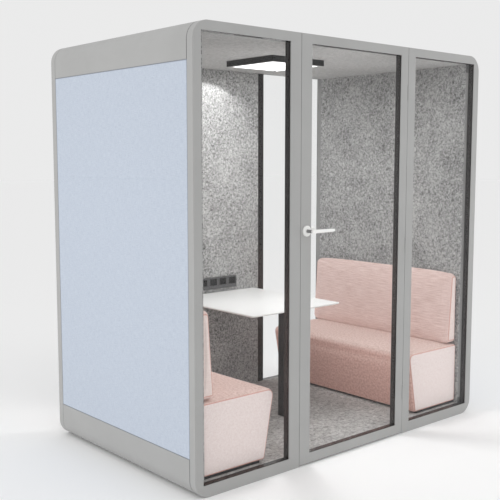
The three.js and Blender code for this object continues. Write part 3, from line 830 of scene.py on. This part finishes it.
@dataclass
class Cushion:
    """A firm cushion: a rounded profile carried along the bench, in cloth sewn to two end panels."""

    name: str
    corners: list[tuple[float, float, float]]
    length: float
    end_radius: float
    crown: float
    corner_radius: float = 0.0
    crown_power: int = 6
    under_share: float = 0.5
    end_crown: float = 0.004
    end_rings: int = 16
    end_hole: float = 0.02
    end_steps: int = 9
    seam_angle: float = 40.0
    seam_spread: float = 6.0
    seam_depth: float = 0.003
    seam_width: float = 0.0022
    crease: float = 0.002
    flat_steps: int = 22
    turn_steps: int = 7
    middle_steps: int = 88
    bead: float = 0.0026
    reach: float = 0.006
    slack: float = 0.003
    free_from: float = 0.05
    cloth: CoverCloth = CoverCloth()

    def section(self, inset: float, drop: float) -> tuple[np.ndarray, np.ndarray, np.ndarray]:
        """The profile, moved inwards: straight sides joined by arcs tangent to both.

        Args:
            inset: How far the upright sides move in.
            drop: How far the level sides move in.

        Returns:
            Points, outward normals and the share of crown, 4t(1-t) along each side and 0 on the arcs.
        """
        at = np.array([c[:2] for c in self.corners])
        radius = np.maximum(np.array([c[2] for c in self.corners]) - inset, self.crease)
        into = at - np.roll(at, 1, 0)
        into /= np.linalg.norm(into, axis=1, keepdims=True)
        out = np.roll(into, -1, 0)
        dot = (into * out).sum(1)
        turn = into[:, 0] * out[:, 1] - into[:, 1] * out[:, 0]
        shift = np.where(np.abs(into[:, 0]) > np.abs(into[:, 1]), drop, inset)
        at = at + out * (shift / turn)[:, None] - into * (np.roll(shift, -1) / turn)[:, None]
        angle = np.arccos(dot)
        normal = np.stack([into[:, 1], -into[:, 0]], 1)
        centre = at - into * (radius * np.tan(angle / 2))[:, None] - normal * radius[:, None]
        first = np.arctan2(normal[:, 1], normal[:, 0])
        turn = first[:, None] + angle[:, None] * np.linspace(0, 1, self.turn_steps)
        arc_normal = np.stack([np.cos(turn), np.sin(turn)], -1)
        arc = centre[:, None] + arc_normal * radius[:, None, None]
        t = np.linspace(0, 1, self.flat_steps + 1)[1:-1]
        start, end = arc[:, -1], np.roll(arc[:, 0], -1, 0)
        side = start[:, None] + (end - start)[:, None] * t[None, :, None]
        side_normal = np.repeat(np.roll(arc_normal[:, 0], -1, 0)[:, None], len(t), 1)
        swell = np.concatenate([np.zeros((len(at), self.turn_steps)),
                                np.tile(4 * t * (1 - t), (len(at), 1))], 1)
        points = np.concatenate([arc, side], 1).reshape(-1, 2)
        normals = np.concatenate([arc_normal, side_normal], 1).reshape(-1, 2)
        return points, normals, swell.reshape(-1)

    def stations(self) -> tuple[np.ndarray, np.ndarray, np.ndarray, int]:
        """Places along the bench, with the inset and drop at each: r - sqrt(r^2 - (r - e)^2) at e from an end.

        Returns:
            Places, insets by the end radius, drops by the corner radius, number of the first seam's place.
        """
        beside = self.seam_angle + self.seam_spread * np.array([-1, 0, 1])
        angle = np.unique(np.concatenate([np.linspace(0, 90, self.end_steps), beside]))
        half = self.length / 2 - self.end_crown
        along = self.end_radius * (1 - np.cos(np.radians(angle)))
        corner = max(self.corner_radius, self.end_radius)
        inner = half - corner
        extra = np.linspace(self.end_radius, corner, 4)[1:] if corner > self.end_radius else np.zeros(0)
        end = np.concatenate([along, extra])
        seam = int(np.flatnonzero(angle == self.seam_angle)[0])
        groove = self.seam_depth * np.exp(-((end - end[seam]) / self.seam_width) ** 2)

        def fall(radius: float) -> np.ndarray:
            """How far a round of this radius has fallen back at each place."""
            side = np.maximum(0, radius - end)
            return radius - np.sqrt(radius ** 2 - side ** 2) + groove

        middle = np.linspace(-inner, inner, self.middle_steps)[1:-1]
        flat = np.zeros(len(middle))
        inset, drop = fall(self.end_radius), fall(corner)
        return (np.concatenate([-half + end, middle, half - end[::-1]]),
                np.concatenate([inset, flat, inset[::-1]]), np.concatenate([drop, flat, drop[::-1]]), seam)

    def foam(self) -> dict[str, np.ndarray]:
        """The closed surface of the foam.

        Point = section point + normal times crown, where the crown is the side's 4t(1-t) times 1-(y/l)^6.
        Rings that shrink to the middle of each end, bulging by 1 - m squared, close it.

        Returns:
            Points as distance from the wall, place along the bench and height, in rows; outward normals of
            the same shape; how freely the cloth lies; thread map; seam map; end mask; rows of the two seams.
        """
        place, inset, drop, seam = self.stations()
        sections = [self.section(i, d) for i, d in zip(inset, drop)]
        inner = self.length / 2 - self.end_crown - max(self.corner_radius, self.end_radius)
        along = np.clip(1 - (place / inner) ** self.crown_power, 0, 1)[:, None]
        flat = np.stack([s[0] for s in sections])
        flat_normal = np.stack([s[1] for s in sections])
        level = flat_normal[..., 1]
        facing = np.maximum(flat_normal[..., 0], np.maximum(level, -self.under_share * level))
        swell = sections[0][2][None] * np.clip(facing, 0, 1)
        moved = flat + flat_normal * ((self.crown * swell * along)[..., None])
        columns = flat.shape[1]
        body = np.stack([moved[..., 0], np.repeat(place[:, None], columns, 1), moved[..., 1]], -1)
        base = sections[len(sections) // 2][0]
        run = np.concatenate([[0], np.cumsum(np.linalg.norm(np.diff(base, axis=0), axis=1))])
        shrink = np.linspace(1, self.end_hole, self.end_rings)[1:, None]
        centre = body[0].mean(0)

        def cap(ring: np.ndarray, sign: float) -> np.ndarray:
            """Rings shrinking to the middle of an end.

            Args:
                ring: The end's outer ring.
                sign: Which way along the bench the end bulges.

            Returns:
                The rings, from the outside in.
            """
            rings = np.repeat(ring[None], len(shrink), 0)
            rings[..., 0] = centre[0] + shrink * (ring[None, :, 0] - centre[0])
            rings[..., 2] = centre[2] + shrink * (ring[None, :, 2] - centre[2])
            rings[..., 1] += sign * self.end_crown * (1 - shrink ** 2)
            return rings

        points = np.concatenate([cap(body[0], -1.0)[::-1], body, cap(body[-1], 1.0)])
        rows, count = len(points), len(shrink)
        seams = np.array([count + seam, rows - 1 - count - seam])
        slope = np.cross(np.gradient(points, axis=0), np.roll(points, -1, 1) - np.roll(points, 1, 1))
        normals = slope / np.maximum(np.linalg.norm(slope, axis=-1, keepdims=True), 1e-12)
        normals *= np.sign((normals[rows // 2] * np.insert(flat_normal[len(place) // 2], 1, 0, 1)).sum())
        steps = np.linalg.norm(np.diff(points, axis=0), axis=-1)
        step = np.concatenate([np.zeros((1, columns)), np.cumsum(steps, 0)])
        away = np.minimum(np.abs(step - step[seams[0]]), np.abs(step - step[seams[1]]))
        around = np.repeat(run[None], rows, 0)
        end = (np.arange(rows) < seams[0]) | (np.arange(rows) > seams[1])
        mask = np.repeat(end[:, None], columns, 1).astype(float)
        threads = np.where(mask[..., None] > 0, points[..., [0, 2, 1]],
                           np.stack([points[..., 1], around, around], -1))
        hidden = np.clip(np.maximum(-normals[..., 0], -normals[..., 2]), 0, 1)
        free = np.clip(away / self.free_from, 0, 1) * (1 - hidden) * (1 - mask)
        return {"points": points, "normals": normals, "free": free, "threads": threads,
                "seam": np.stack([away, around, mask], -1), "end": mask, "seams": seams}

    def settle(self, points: np.ndarray, normals: np.ndarray, free: np.ndarray) -> np.ndarray:
        """Lets the cloth cover settle over the foam in a cloth simulation without gravity.

        The cover starts a little inside, is blown up by pressure, and is held fast along its seams and softly
        by the foam elsewhere, so that its slack gathers in shallow folds. No point goes beyond the reach.

        Args:
            points: The foam's surface, in rows and columns.
            normals: Its outward normals.
            free: How freely the cloth lies at each point, 0 to 1.

        Returns:
            Points of the settled cover.
        """
        rows, columns = points.shape[:2]
        start = points - normals * (self.slack * free)[..., None]
        scene = bpy.context.scene
        mesh = mesh_of("cover", start.reshape(-1, 3), closed_faces(rows, columns))
        cover = bpy.data.objects.new("cover", mesh)
        scene.collection.objects.link(cover)
        hold = np.round(1 - self.cloth.let_go * free.reshape(-1), 2)
        held = cover.vertex_groups.new(name="held")
        for level in np.unique(hold):
            held.add(np.flatnonzero(hold == level).tolist(), float(level), "REPLACE")
        self.cloth.apply(cover, held.name)
        for step in range(1, self.cloth.steps + 1):
            scene.frame_set(step)
        shape = cover.evaluated_get(bpy.context.evaluated_depsgraph_get()).data
        found = np.empty(rows * columns * 3, np.float32)
        shape.vertices.foreach_get("co", found)
        bpy.data.objects.remove(cover)
        bpy.data.meshes.remove(mesh)
        scene.frame_set(1)
        moved = found.reshape(points.shape).astype(float) - points
        far = np.linalg.norm(moved, axis=-1, keepdims=True)
        LOG.info("%s cover moved %.1f mm at most before the cap, which holds %.1f %% of its points",
                 self.name, far.max() * 1000, (far > self.reach).mean() * 100)
        return points + moved * np.minimum(1, self.reach / np.maximum(far, 1e-9))

    def build(self, shop: Workshop, finish: Finish, trim: Finish, wall: float, shift: float) -> None:
        """Makes the cushion and its piping on both sides of the pod, one side being the other in a mirror.

        Args:
            shop: Workshop that makes pieces.
            finish: Cloth of the cushion.
            trim: Cloth of the piping.
            wall: Distance of the wall face from the middle.
            shift: Middle of the bench along Y.
        """
        foam = self.foam()
        cover = self.settle(foam["points"], foam["normals"], foam["free"])
        rows, columns = cover.shape[:2]
        for side, sign in (("left", -1.0), ("right", 1.0)):
            mirror = np.array([-sign, 1.0, 1.0])
            origin = np.array([sign * wall, shift, 0.0])
            points = cover * mirror + origin
            node = f"{side}_{self.name}"
            mesh = mesh_of(node, points.reshape(-1, 3), closed_faces(rows, columns))
            for label, kind in (("threads", "FLOAT_VECTOR"), ("seam", "FLOAT_VECTOR"), ("end", "FLOAT")):
                values = mesh.attributes.new(label, kind, "POINT")
                key = "vector" if kind == "FLOAT_VECTOR" else "value"
                values.data.foreach_set(key, foam[label].reshape(-1).astype(np.float32))
            cushion = shop.seat(mesh, f"{node}_cushion", finish, "pod", node)
            soften = cushion.modifiers.new("soften", "SUBSURF")
            soften.levels = soften.render_levels = 1
            beads = [tube(points[r], foam["normals"][r] * mirror, self.bead) for r in foam["seams"]]
            quads = np.concatenate([faces + i * len(beads[0][0]) for i, (_, faces) in enumerate(beads)])
            mesh = mesh_of(f"{node}_piping", np.concatenate([b[0] for b in beads]), quads.tolist())
            shop.seat(mesh, f"{node}_piping", trim, "pod")


@dataclass
class Benches:
    """Two benches that face each other: seats, backs and plinths."""

    wall: float = 1.0496
    shift: float = 0.029
    seat: Cushion = field(default_factory=lambda: Cushion(
        "seat", [(0.0, 0.0766, 0.016), (0.418, 0.0766, 0.014), (0.488, 0.456, 0.040), (0.0, 0.456, 0.016)],
        length=1.24, end_radius=0.016, crown=0.006))
    back: Cushion = field(default_factory=lambda: Cushion(
        "backrest", [(0.0, 0.462, 0.010), (0.086, 0.462, 0.018), (0.054, 0.922, 0.024), (0.0, 0.922, 0.022)],
        length=1.232, end_radius=0.024, crown=0.009, corner_radius=0.042))

    def build(self, shop: Workshop, house: "Finishes") -> None:
        """Makes the cushions and dresses the plinths.

        Args:
            shop: Workshop that makes pieces.
            house: Every finish.
        """
        self.seat.build(shop, house.seat_cloth, house.piping, self.wall, self.shift)
        self.back.build(shop, house.back_cloth, house.piping, self.wall, self.shift)
        shop.dress(["left_plinth", "right_plinth"], house.black_plastic)


GREY_PAINT = (srgb(159, 159, 158), srgb(166, 166, 165), (0.42, 0.55), 1400.0)
BLACK_GLOSS = (srgb(40, 37, 37), srgb(45, 41, 41), (0.2, 0.24), 40.0, 0.000001)
# Dark and light cloth, then the darker blue painted as shade along the panels' edges.
BLUE_CLOTH = (srgb(163, 173, 190), srgb(198, 206, 217), srgb(110, 114, 126))
BACK_CLOTH = (srgb(209, 177, 169), srgb(244, 222, 216))


@dataclass(frozen=True)
class Finishes:
    """Every finish of the pod."""

    paint: HardFinish = HardFinish("grey_powder_coat", *GREY_PAINT)
    # Its second tone is painted shade: a dark line where the shell meets the frames.
    shell: TwoToneFinish = TwoToneFinish(
        "grey_shell_coat", *GREY_PAINT,
        second_dark=srgb(92, 92, 92), second_light=srgb(100, 100, 100), where=Zone.JOINT_SHADE)
    blue: PanelCloth = PanelCloth("blue_panel_cloth", *BLUE_CLOTH)
    blue_rear: PanelCloth = PanelCloth(
        "blue_rear_cloth", *BLUE_CLOTH, ("rear_fabric_panel", "rear_fabric_panel"), Plane.REAR)
    felt: FeltFinish = FeltFinish("grey_felt", srgb(66, 66, 66), srgb(203, 203, 202), 74.0, 0.0008)
    ceiling: FeltFinish = FeltFinish("ceiling_felt", srgb(148, 148, 147), srgb(194, 194, 193), 48.0, 0.0008)
    carpet: FeltFinish = FeltFinish("grey_carpet", srgb(112, 110, 108), srgb(204, 202, 200), 44.0, 0.0012)
    board: HardFinish = HardFinish("core_board", srgb(142, 141, 140), srgb(156, 155, 154), (0.7, 0.9), 300.0)
    gloss: HardFinish = HardFinish("black_gloss", *BLACK_GLOSS)
    # The grey on the reveals' outer side is grey paint with painted shade: darker than the frame paint.
    rear_gloss: TwoToneFinish = TwoToneFinish(
        "rear_gloss", *BLACK_GLOSS,
        second_dark=srgb(132, 132, 131), second_light=srgb(142, 142, 141), where=Zone.OUTER_SIDE)
    lamp_housing: TwoToneFinish = TwoToneFinish(
        "lamp_housing", srgb(34, 34, 35), srgb(44, 44, 45), (0.45, 0.6), 1100.0,
        second_dark=srgb(158, 158, 157), second_light=srgb(170, 170, 169), where=Zone.UNDERSIDE)
    # Its grey second tone is a painted shadow on the neck behind the grip.
    lever: TwoToneFinish = TwoToneFinish(
        "lever_paint", srgb(236, 236, 234), srgb(243, 243, 241), (0.3, 0.42), 1200.0,
        second_dark=srgb(120, 120, 120), second_light=srgb(134, 134, 134), where=Zone.NECK)
    glass: GlassFinish = GlassFinish("clear_glass", (0.985, 0.99, 0.988, 1.0), WHITE)
    white: HardFinish = HardFinish(
        "white_lever_paint", srgb(232, 232, 230), srgb(240, 240, 238), (0.3, 0.42), 1200.0)
    laminate: HardFinish = HardFinish(
        "white_laminate", srgb(233, 233, 232), srgb(240, 240, 239), (0.35, 0.5), 700.0)
    steel: HardFinish = HardFinish(
        "brushed_steel", srgb(176, 176, 176), srgb(196, 196, 196), (0.25, 0.4), 600.0, metal=1.0)
    dark: HardFinish = HardFinish("dark_matt_paint", srgb(40, 40, 41), srgb(52, 52, 53), (0.45, 0.6), 1100.0)
    dark_plastic: HardFinish = HardFinish(
        "dark_plastic", srgb(84, 84, 85), srgb(96, 96, 97), (0.5, 0.65), 1300.0)
    black_plastic: HardFinish = HardFinish(
        "black_plastic", srgb(26, 26, 27), srgb(36, 36, 37), (0.5, 0.65), 1300.0)
    lamp: LampFinish = LampFinish(
        "opal_lamp", srgb(250, 250, 248), srgb(255, 255, 255), (0.0, 0.029), (0.1847, 0.1837))
    seat_cloth: CushionCloth = CushionCloth(
        "pink_seat_cloth", srgb(210, 178, 168), srgb(238, 214, 207),
        # The end tones are paler: partly the end panels' own cloth, partly painted light where the ends face
        # the lamps.
        end_lit_dark=srgb(227, 209, 205), end_lit_light=srgb(246, 234, 231),
        # The shaded tones are painted shade for the seat's front and underside.
        shaded_dark=srgb(216, 164, 151), shaded_light=srgb(246, 204, 193), fleck=(75.0, 75.0), fleck_share=0.85)
    back_cloth: CushionCloth = CushionCloth(
        # The end tones are partly painted light where the ends face the lamps.
        "pink_back_cloth", *BACK_CLOTH, end_lit_dark=srgb(226, 204, 198), end_lit_light=srgb(244, 230, 225),
        shaded_dark=BACK_CLOTH[0], shaded_light=BACK_CLOTH[1], fleck=(10.0, 185.0), fleck_share=0.55)
    piping: HardFinish = HardFinish(
        "pink_piping", srgb(204, 150, 138), srgb(220, 172, 161), (0.85, 0.95), 900.0, 0.0003)


@dataclass
class Shell:
    """Roof, base, side walls, floor and ceiling."""

    sides: tuple[str, str] = ("left", "right")
    tape_depth: float = 0.0005
    tape_half: float = 0.003
    tape_thickness: float = 0.001
    tape_end: float = 0.003

    def dress(self, shop: Workshop, house: Finishes) -> None:
        """Smooths the painted shell and dresses cloth, felt, carpet and boards.

        Args:
            shop: Workshop that makes pieces.
            house: Every finish.
        """
        shop.smooth(["roof_shell", "base_shell"], house.shell)
        panels = [f"{s}_fabric_{level}" for s in self.sides for level in ("lower", "middle", "upper")]
        shop.dress(panels, house.blue)
        shop.dress(["rear_fabric_panel"], house.blue_rear)
        shop.dress(["left_felt_panel", "right_felt_panel", "rear_felt_panel"], house.felt)
        shop.dress(["ceiling_panel"], house.ceiling)
        shop.dress(["carpet"], house.carpet)
        shop.dress(["left_wall_core", "right_wall_core", "floor_deck"], house.board)
        for side in self.sides:
            self.tape(shop, house, side, "lower", "middle")
            self.tape(shop, house, side, "middle", "upper")

    def tape(self, shop: Workshop, house: Finishes, side: str, lower: str, upper: str) -> None:
        """Closes the fine seam between two stacked panels with a strip of cloth just below their face.

        Args:
            shop: Workshop that makes pieces.
            house: Every finish.
            side: Left or right.
            lower: The panel below.
            upper: The panel above.
        """
        below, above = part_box(f"{side}_fabric_{lower}"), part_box(f"{side}_fabric_{upper}")
        inward = 1.0 if side == "left" else -1.0
        face = (below[0].x if side == "left" else below[1].x) + inward * self.tape_depth
        middle = (below[1].z + above[0].z) / 2
        depth = (face, face + inward * self.tape_thickness)
        ring = [(middle - self.tape_half, depth[0]), (middle + self.tape_half, depth[0]),
                (middle + self.tape_half, depth[1]), (middle - self.tape_half, depth[1])]
        ends = (below[0].y + self.tape_end, below[1].y - self.tape_end)
        points = np.array([[x, y, z] for y in ends for z, x in ring])
        mesh = mesh_of(f"{side}_{lower}_tape", points, closed_faces(2, 4))
        mesh.shade_flat()
        shop.seat(mesh, f"{side}_{lower}_seam_tape", house.blue, "pod")


@dataclass
class Glazing:
    """Frames, gloss reveals and panes."""

    fixed: tuple[str, ...] = ("front_left", "front_right", "rear_left", "rear_right")

    def dress(self, shop: Workshop, house: Finishes) -> None:
        """Smooths the frames and dresses reveals and panes.

        Args:
            shop: Workshop that makes pieces.
            house: Every finish.
        """
        shop.smooth([f"{m}_frame" for m in self.fixed] + ["rear_centre_frame"], house.paint)
        shop.smooth(["door_frame"], house.paint, "door")
        shop.dress([f"{m}_liner" for m in ("front_left", "front_right", "door")], house.gloss)
        shop.dress([f"{m}_liner" for m in ("rear_left", "rear_right")], house.rear_gloss)
        shop.dress([f"{m}_glass" for m in (*self.fixed, "door")], house.glass)


@dataclass
class DoorSet:
    """Hinges, levers, roses and latch."""

    levels: tuple[str, ...] = ("bottom", "middle", "top")

    def dress(self, shop: Workshop, house: Finishes) -> None:
        """Smooths the round pieces and dresses the latch.

        Args:
            shop: Workshop that makes pieces.
            house: Every finish.
        """
        shop.smooth([f"hinge_jamb_{n}" for n in self.levels], house.paint)
        shop.smooth([f"hinge_door_{n}" for n in self.levels], house.paint, "door")
        shop.smooth(["outer_rose", "inner_rose"], house.white, "door")
        shop.smooth(["outer_lever"], house.lever, "lever")
        shop.smooth(["inner_lever"], house.white, "lever")
        shop.dress(["latch_bolt", "strike_plate"], house.steel)


def hang(light: bpy.types.Light, place: Place, aim: Place | None = None) -> None:
    """Hangs a lamp that isn't seen itself.

    Args:
        light: The lamp's light.
        place: Where it hangs.
        aim: Point that it faces; without one it shines straight down.
    """
    lamp = bpy.data.objects.new(light.name, light)
    lamp.location = place
    if aim is not None:
        lamp.rotation_mode = "QUATERNION"
        lamp.rotation_quaternion = (Vector(aim) - Vector(place)).to_track_quat("-Z", "Y")
    lamp.visible_camera = lamp.visible_glossy = lamp.visible_transmission = False
    bpy.context.scene.collection.objects.link(lamp)


@dataclass
class Fittings:
    """Ceiling light, socket strip and table."""

    lamp_power: float = 8.0
    lamp_drop: float = 0.006
    cabin_fill: tuple[float, Place] = (7.0, (0.0, -0.1, 1.5))
    low_fill: tuple[float, Place] = (2.0, (0.0, -0.46, 0.6))
    fill_radius: float = 0.25
    wash_power: float = 5.0
    wash_place: Place = (-0.05, 0.484, 2.236)
    wash_angle: float = 130.0
    wash_edge: float = 0.12
    wash_radius: float = 0.012

    def dress(self, shop: Workshop, house: Finishes) -> None:
        """Dresses the fittings and lights the cabin.

        Args:
            shop: Workshop that makes pieces.
            house: Every finish.
        """
        shop.dress(["light_housing"], house.lamp_housing)
        shop.dress(["table_leg", "table_rail"], house.dark)
        shop.dress(["light_diffuser"], house.lamp)
        shop.smooth(["light_sensor"], house.black_plastic)
        shop.dress(["socket_face"], house.dark_plastic)
        shop.dress(["socket_back"], house.black_plastic)
        shop.smooth(["table_top"], house.laminate)
        self.light()

    def light(self) -> None:
        """Lights the ceiling lamp, two soft fills for its bounced light and its wash on the rear felt."""
        low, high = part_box("light_diffuser")
        sheet = bpy.data.lights.new("ceiling_lamp", "AREA")
        sheet.shape, sheet.size, sheet.size_y = "RECTANGLE", high.x - low.x, high.y - low.y
        sheet.energy = self.lamp_power
        hang(sheet, ((low.x + high.x) / 2, (low.y + high.y) / 2, low.z - self.lamp_drop))
        for name, (power, place) in (("cabin_fill", self.cabin_fill), ("low_fill", self.low_fill)):
            fill = bpy.data.lights.new(name, "POINT")
            fill.energy, fill.shadow_soft_size = power, self.fill_radius
            hang(fill, place)
        wash = bpy.data.lights.new("rear_wash", "SPOT")
        wash.energy, wash.shadow_soft_size = self.wash_power, self.wash_radius
        wash.spot_size, wash.spot_blend = math.radians(self.wash_angle), self.wash_edge
        hang(wash, self.wash_place)


@dataclass(frozen=True)
class Softbox:
    """A square soft lamp. A narrow fan, in degrees, keeps its light off the floor."""

    name: str
    place: Place
    aim: Place
    side: float
    fan: float
    power: float

    def build(self) -> None:
        """Hangs the lamp."""
        light = bpy.data.lights.new(self.name, "AREA")
        light.size, light.spread, light.energy = self.side, math.radians(self.fan), self.power
        hang(light, self.place, self.aim)


@dataclass
class Studio:
    """Floor, soft light and camera."""

    camera_place: Place = (-3.5223, -3.7910, 1.6505)
    forward: Place = (0.65261, 0.75025, -0.10598)
    lens: float = 60.61
    sensor: float = 36.0
    clip: tuple[float, float] = (0.05, 200.0)
    floor_tone: Colour = srgb(247, 247, 247)
    background: float = 0.828
    world_strength: float = 0.885
    floor_half: float = 60.0
    softboxes: tuple[Softbox, ...] = (
        Softbox("left_softbox", (-10.5, 1.0, 1.5), (-1.1, 0.0, 1.25), side=2.6, fan=60.0, power=32.0),
        Softbox("right_softbox", (3.2, -3.3, 1.7), (1.1, -0.65, 1.4), side=1.5, fan=90.0, power=7.0),
        Softbox("front_softbox", (-1.5, -4.5, 5.5), (-1.0, -2.5, 0.0), side=5.0, fan=180.0, power=32.0))

    def build(self) -> None:
        """Makes the floor, the world, the lamps and the camera."""
        self.floor()
        self.world()
        for softbox in self.softboxes:
            softbox.build()
        self.camera()
        bpy.context.scene.view_settings.view_transform = "Standard"

    def floor(self) -> None:
        """A wide flat floor in a pale tone."""
        h = self.floor_half
        points = np.array([[-h, -h, 0], [h, -h, 0], [h, h, 0], [-h, h, 0]], float)
        mesh = mesh_of("floor", points, [[0, 1, 2, 3]])
        floor = bpy.data.objects.new("floor", mesh)
        bpy.context.scene.collection.objects.link(floor)
        material = bpy.data.materials.new("pale_floor")
        material.use_nodes = True
        Graph(material.node_tree).fill(material.node_tree.nodes[SHADER], {
            "Base Color": self.floor_tone, "Roughness": 0.9, "Specular IOR Level": 0.1})
        mesh.materials.append(material)

    def world(self) -> None:
        """An even white sky, shown to the camera and in glass and gloss as a pale backdrop."""
        world = bpy.data.worlds.new("studio")
        bpy.context.scene.world = world
        world.use_nodes = True
        graph = Graph(world.node_tree)
        path = graph.node("ShaderNodeLightPath").outputs
        bent = graph.maths("MAXIMUM", path["Is Glossy Ray"], path["Is Transmission Ray"])
        seen = graph.maths("MAXIMUM", path["Is Camera Ray"], bent)
        strength = graph.spread(seen, 0.0, 1.0, self.world_strength, self.background)
        graph.fill(world.node_tree.nodes["Background"], {"Color": WHITE, "Strength": strength})

    def camera(self) -> None:
        """The photograph's viewpoint, with no roll."""
        camera = bpy.data.cameras.new("view")
        camera.lens, camera.sensor_width = self.lens, self.sensor
        camera.clip_start, camera.clip_end = self.clip
        eye = bpy.data.objects.new("view", camera)
        forward = Vector(self.forward).normalized()
        right = forward.cross(Vector((0, 0, 1))).normalized()
        turn = Matrix((right, right.cross(forward), -forward)).transposed().to_4x4()
        eye.matrix_world = Matrix.Translation(self.camera_place) @ turn
        bpy.context.scene.collection.objects.link(eye)
        bpy.context.scene.camera = eye


def main() -> None:
    """Builds the studio and dresses the pod."""
    logging.basicConfig(level=logging.INFO, format="%(name)s: %(message)s")
    shop, house = Workshop(Effects()), Finishes()
    Studio().build()
    Shell().dress(shop, house)
    Glazing().dress(shop, house)
    DoorSet().dress(shop, house)
    Fittings().dress(shop, house)
    Benches().build(shop, house)


if __name__ == "__main__":
    main()
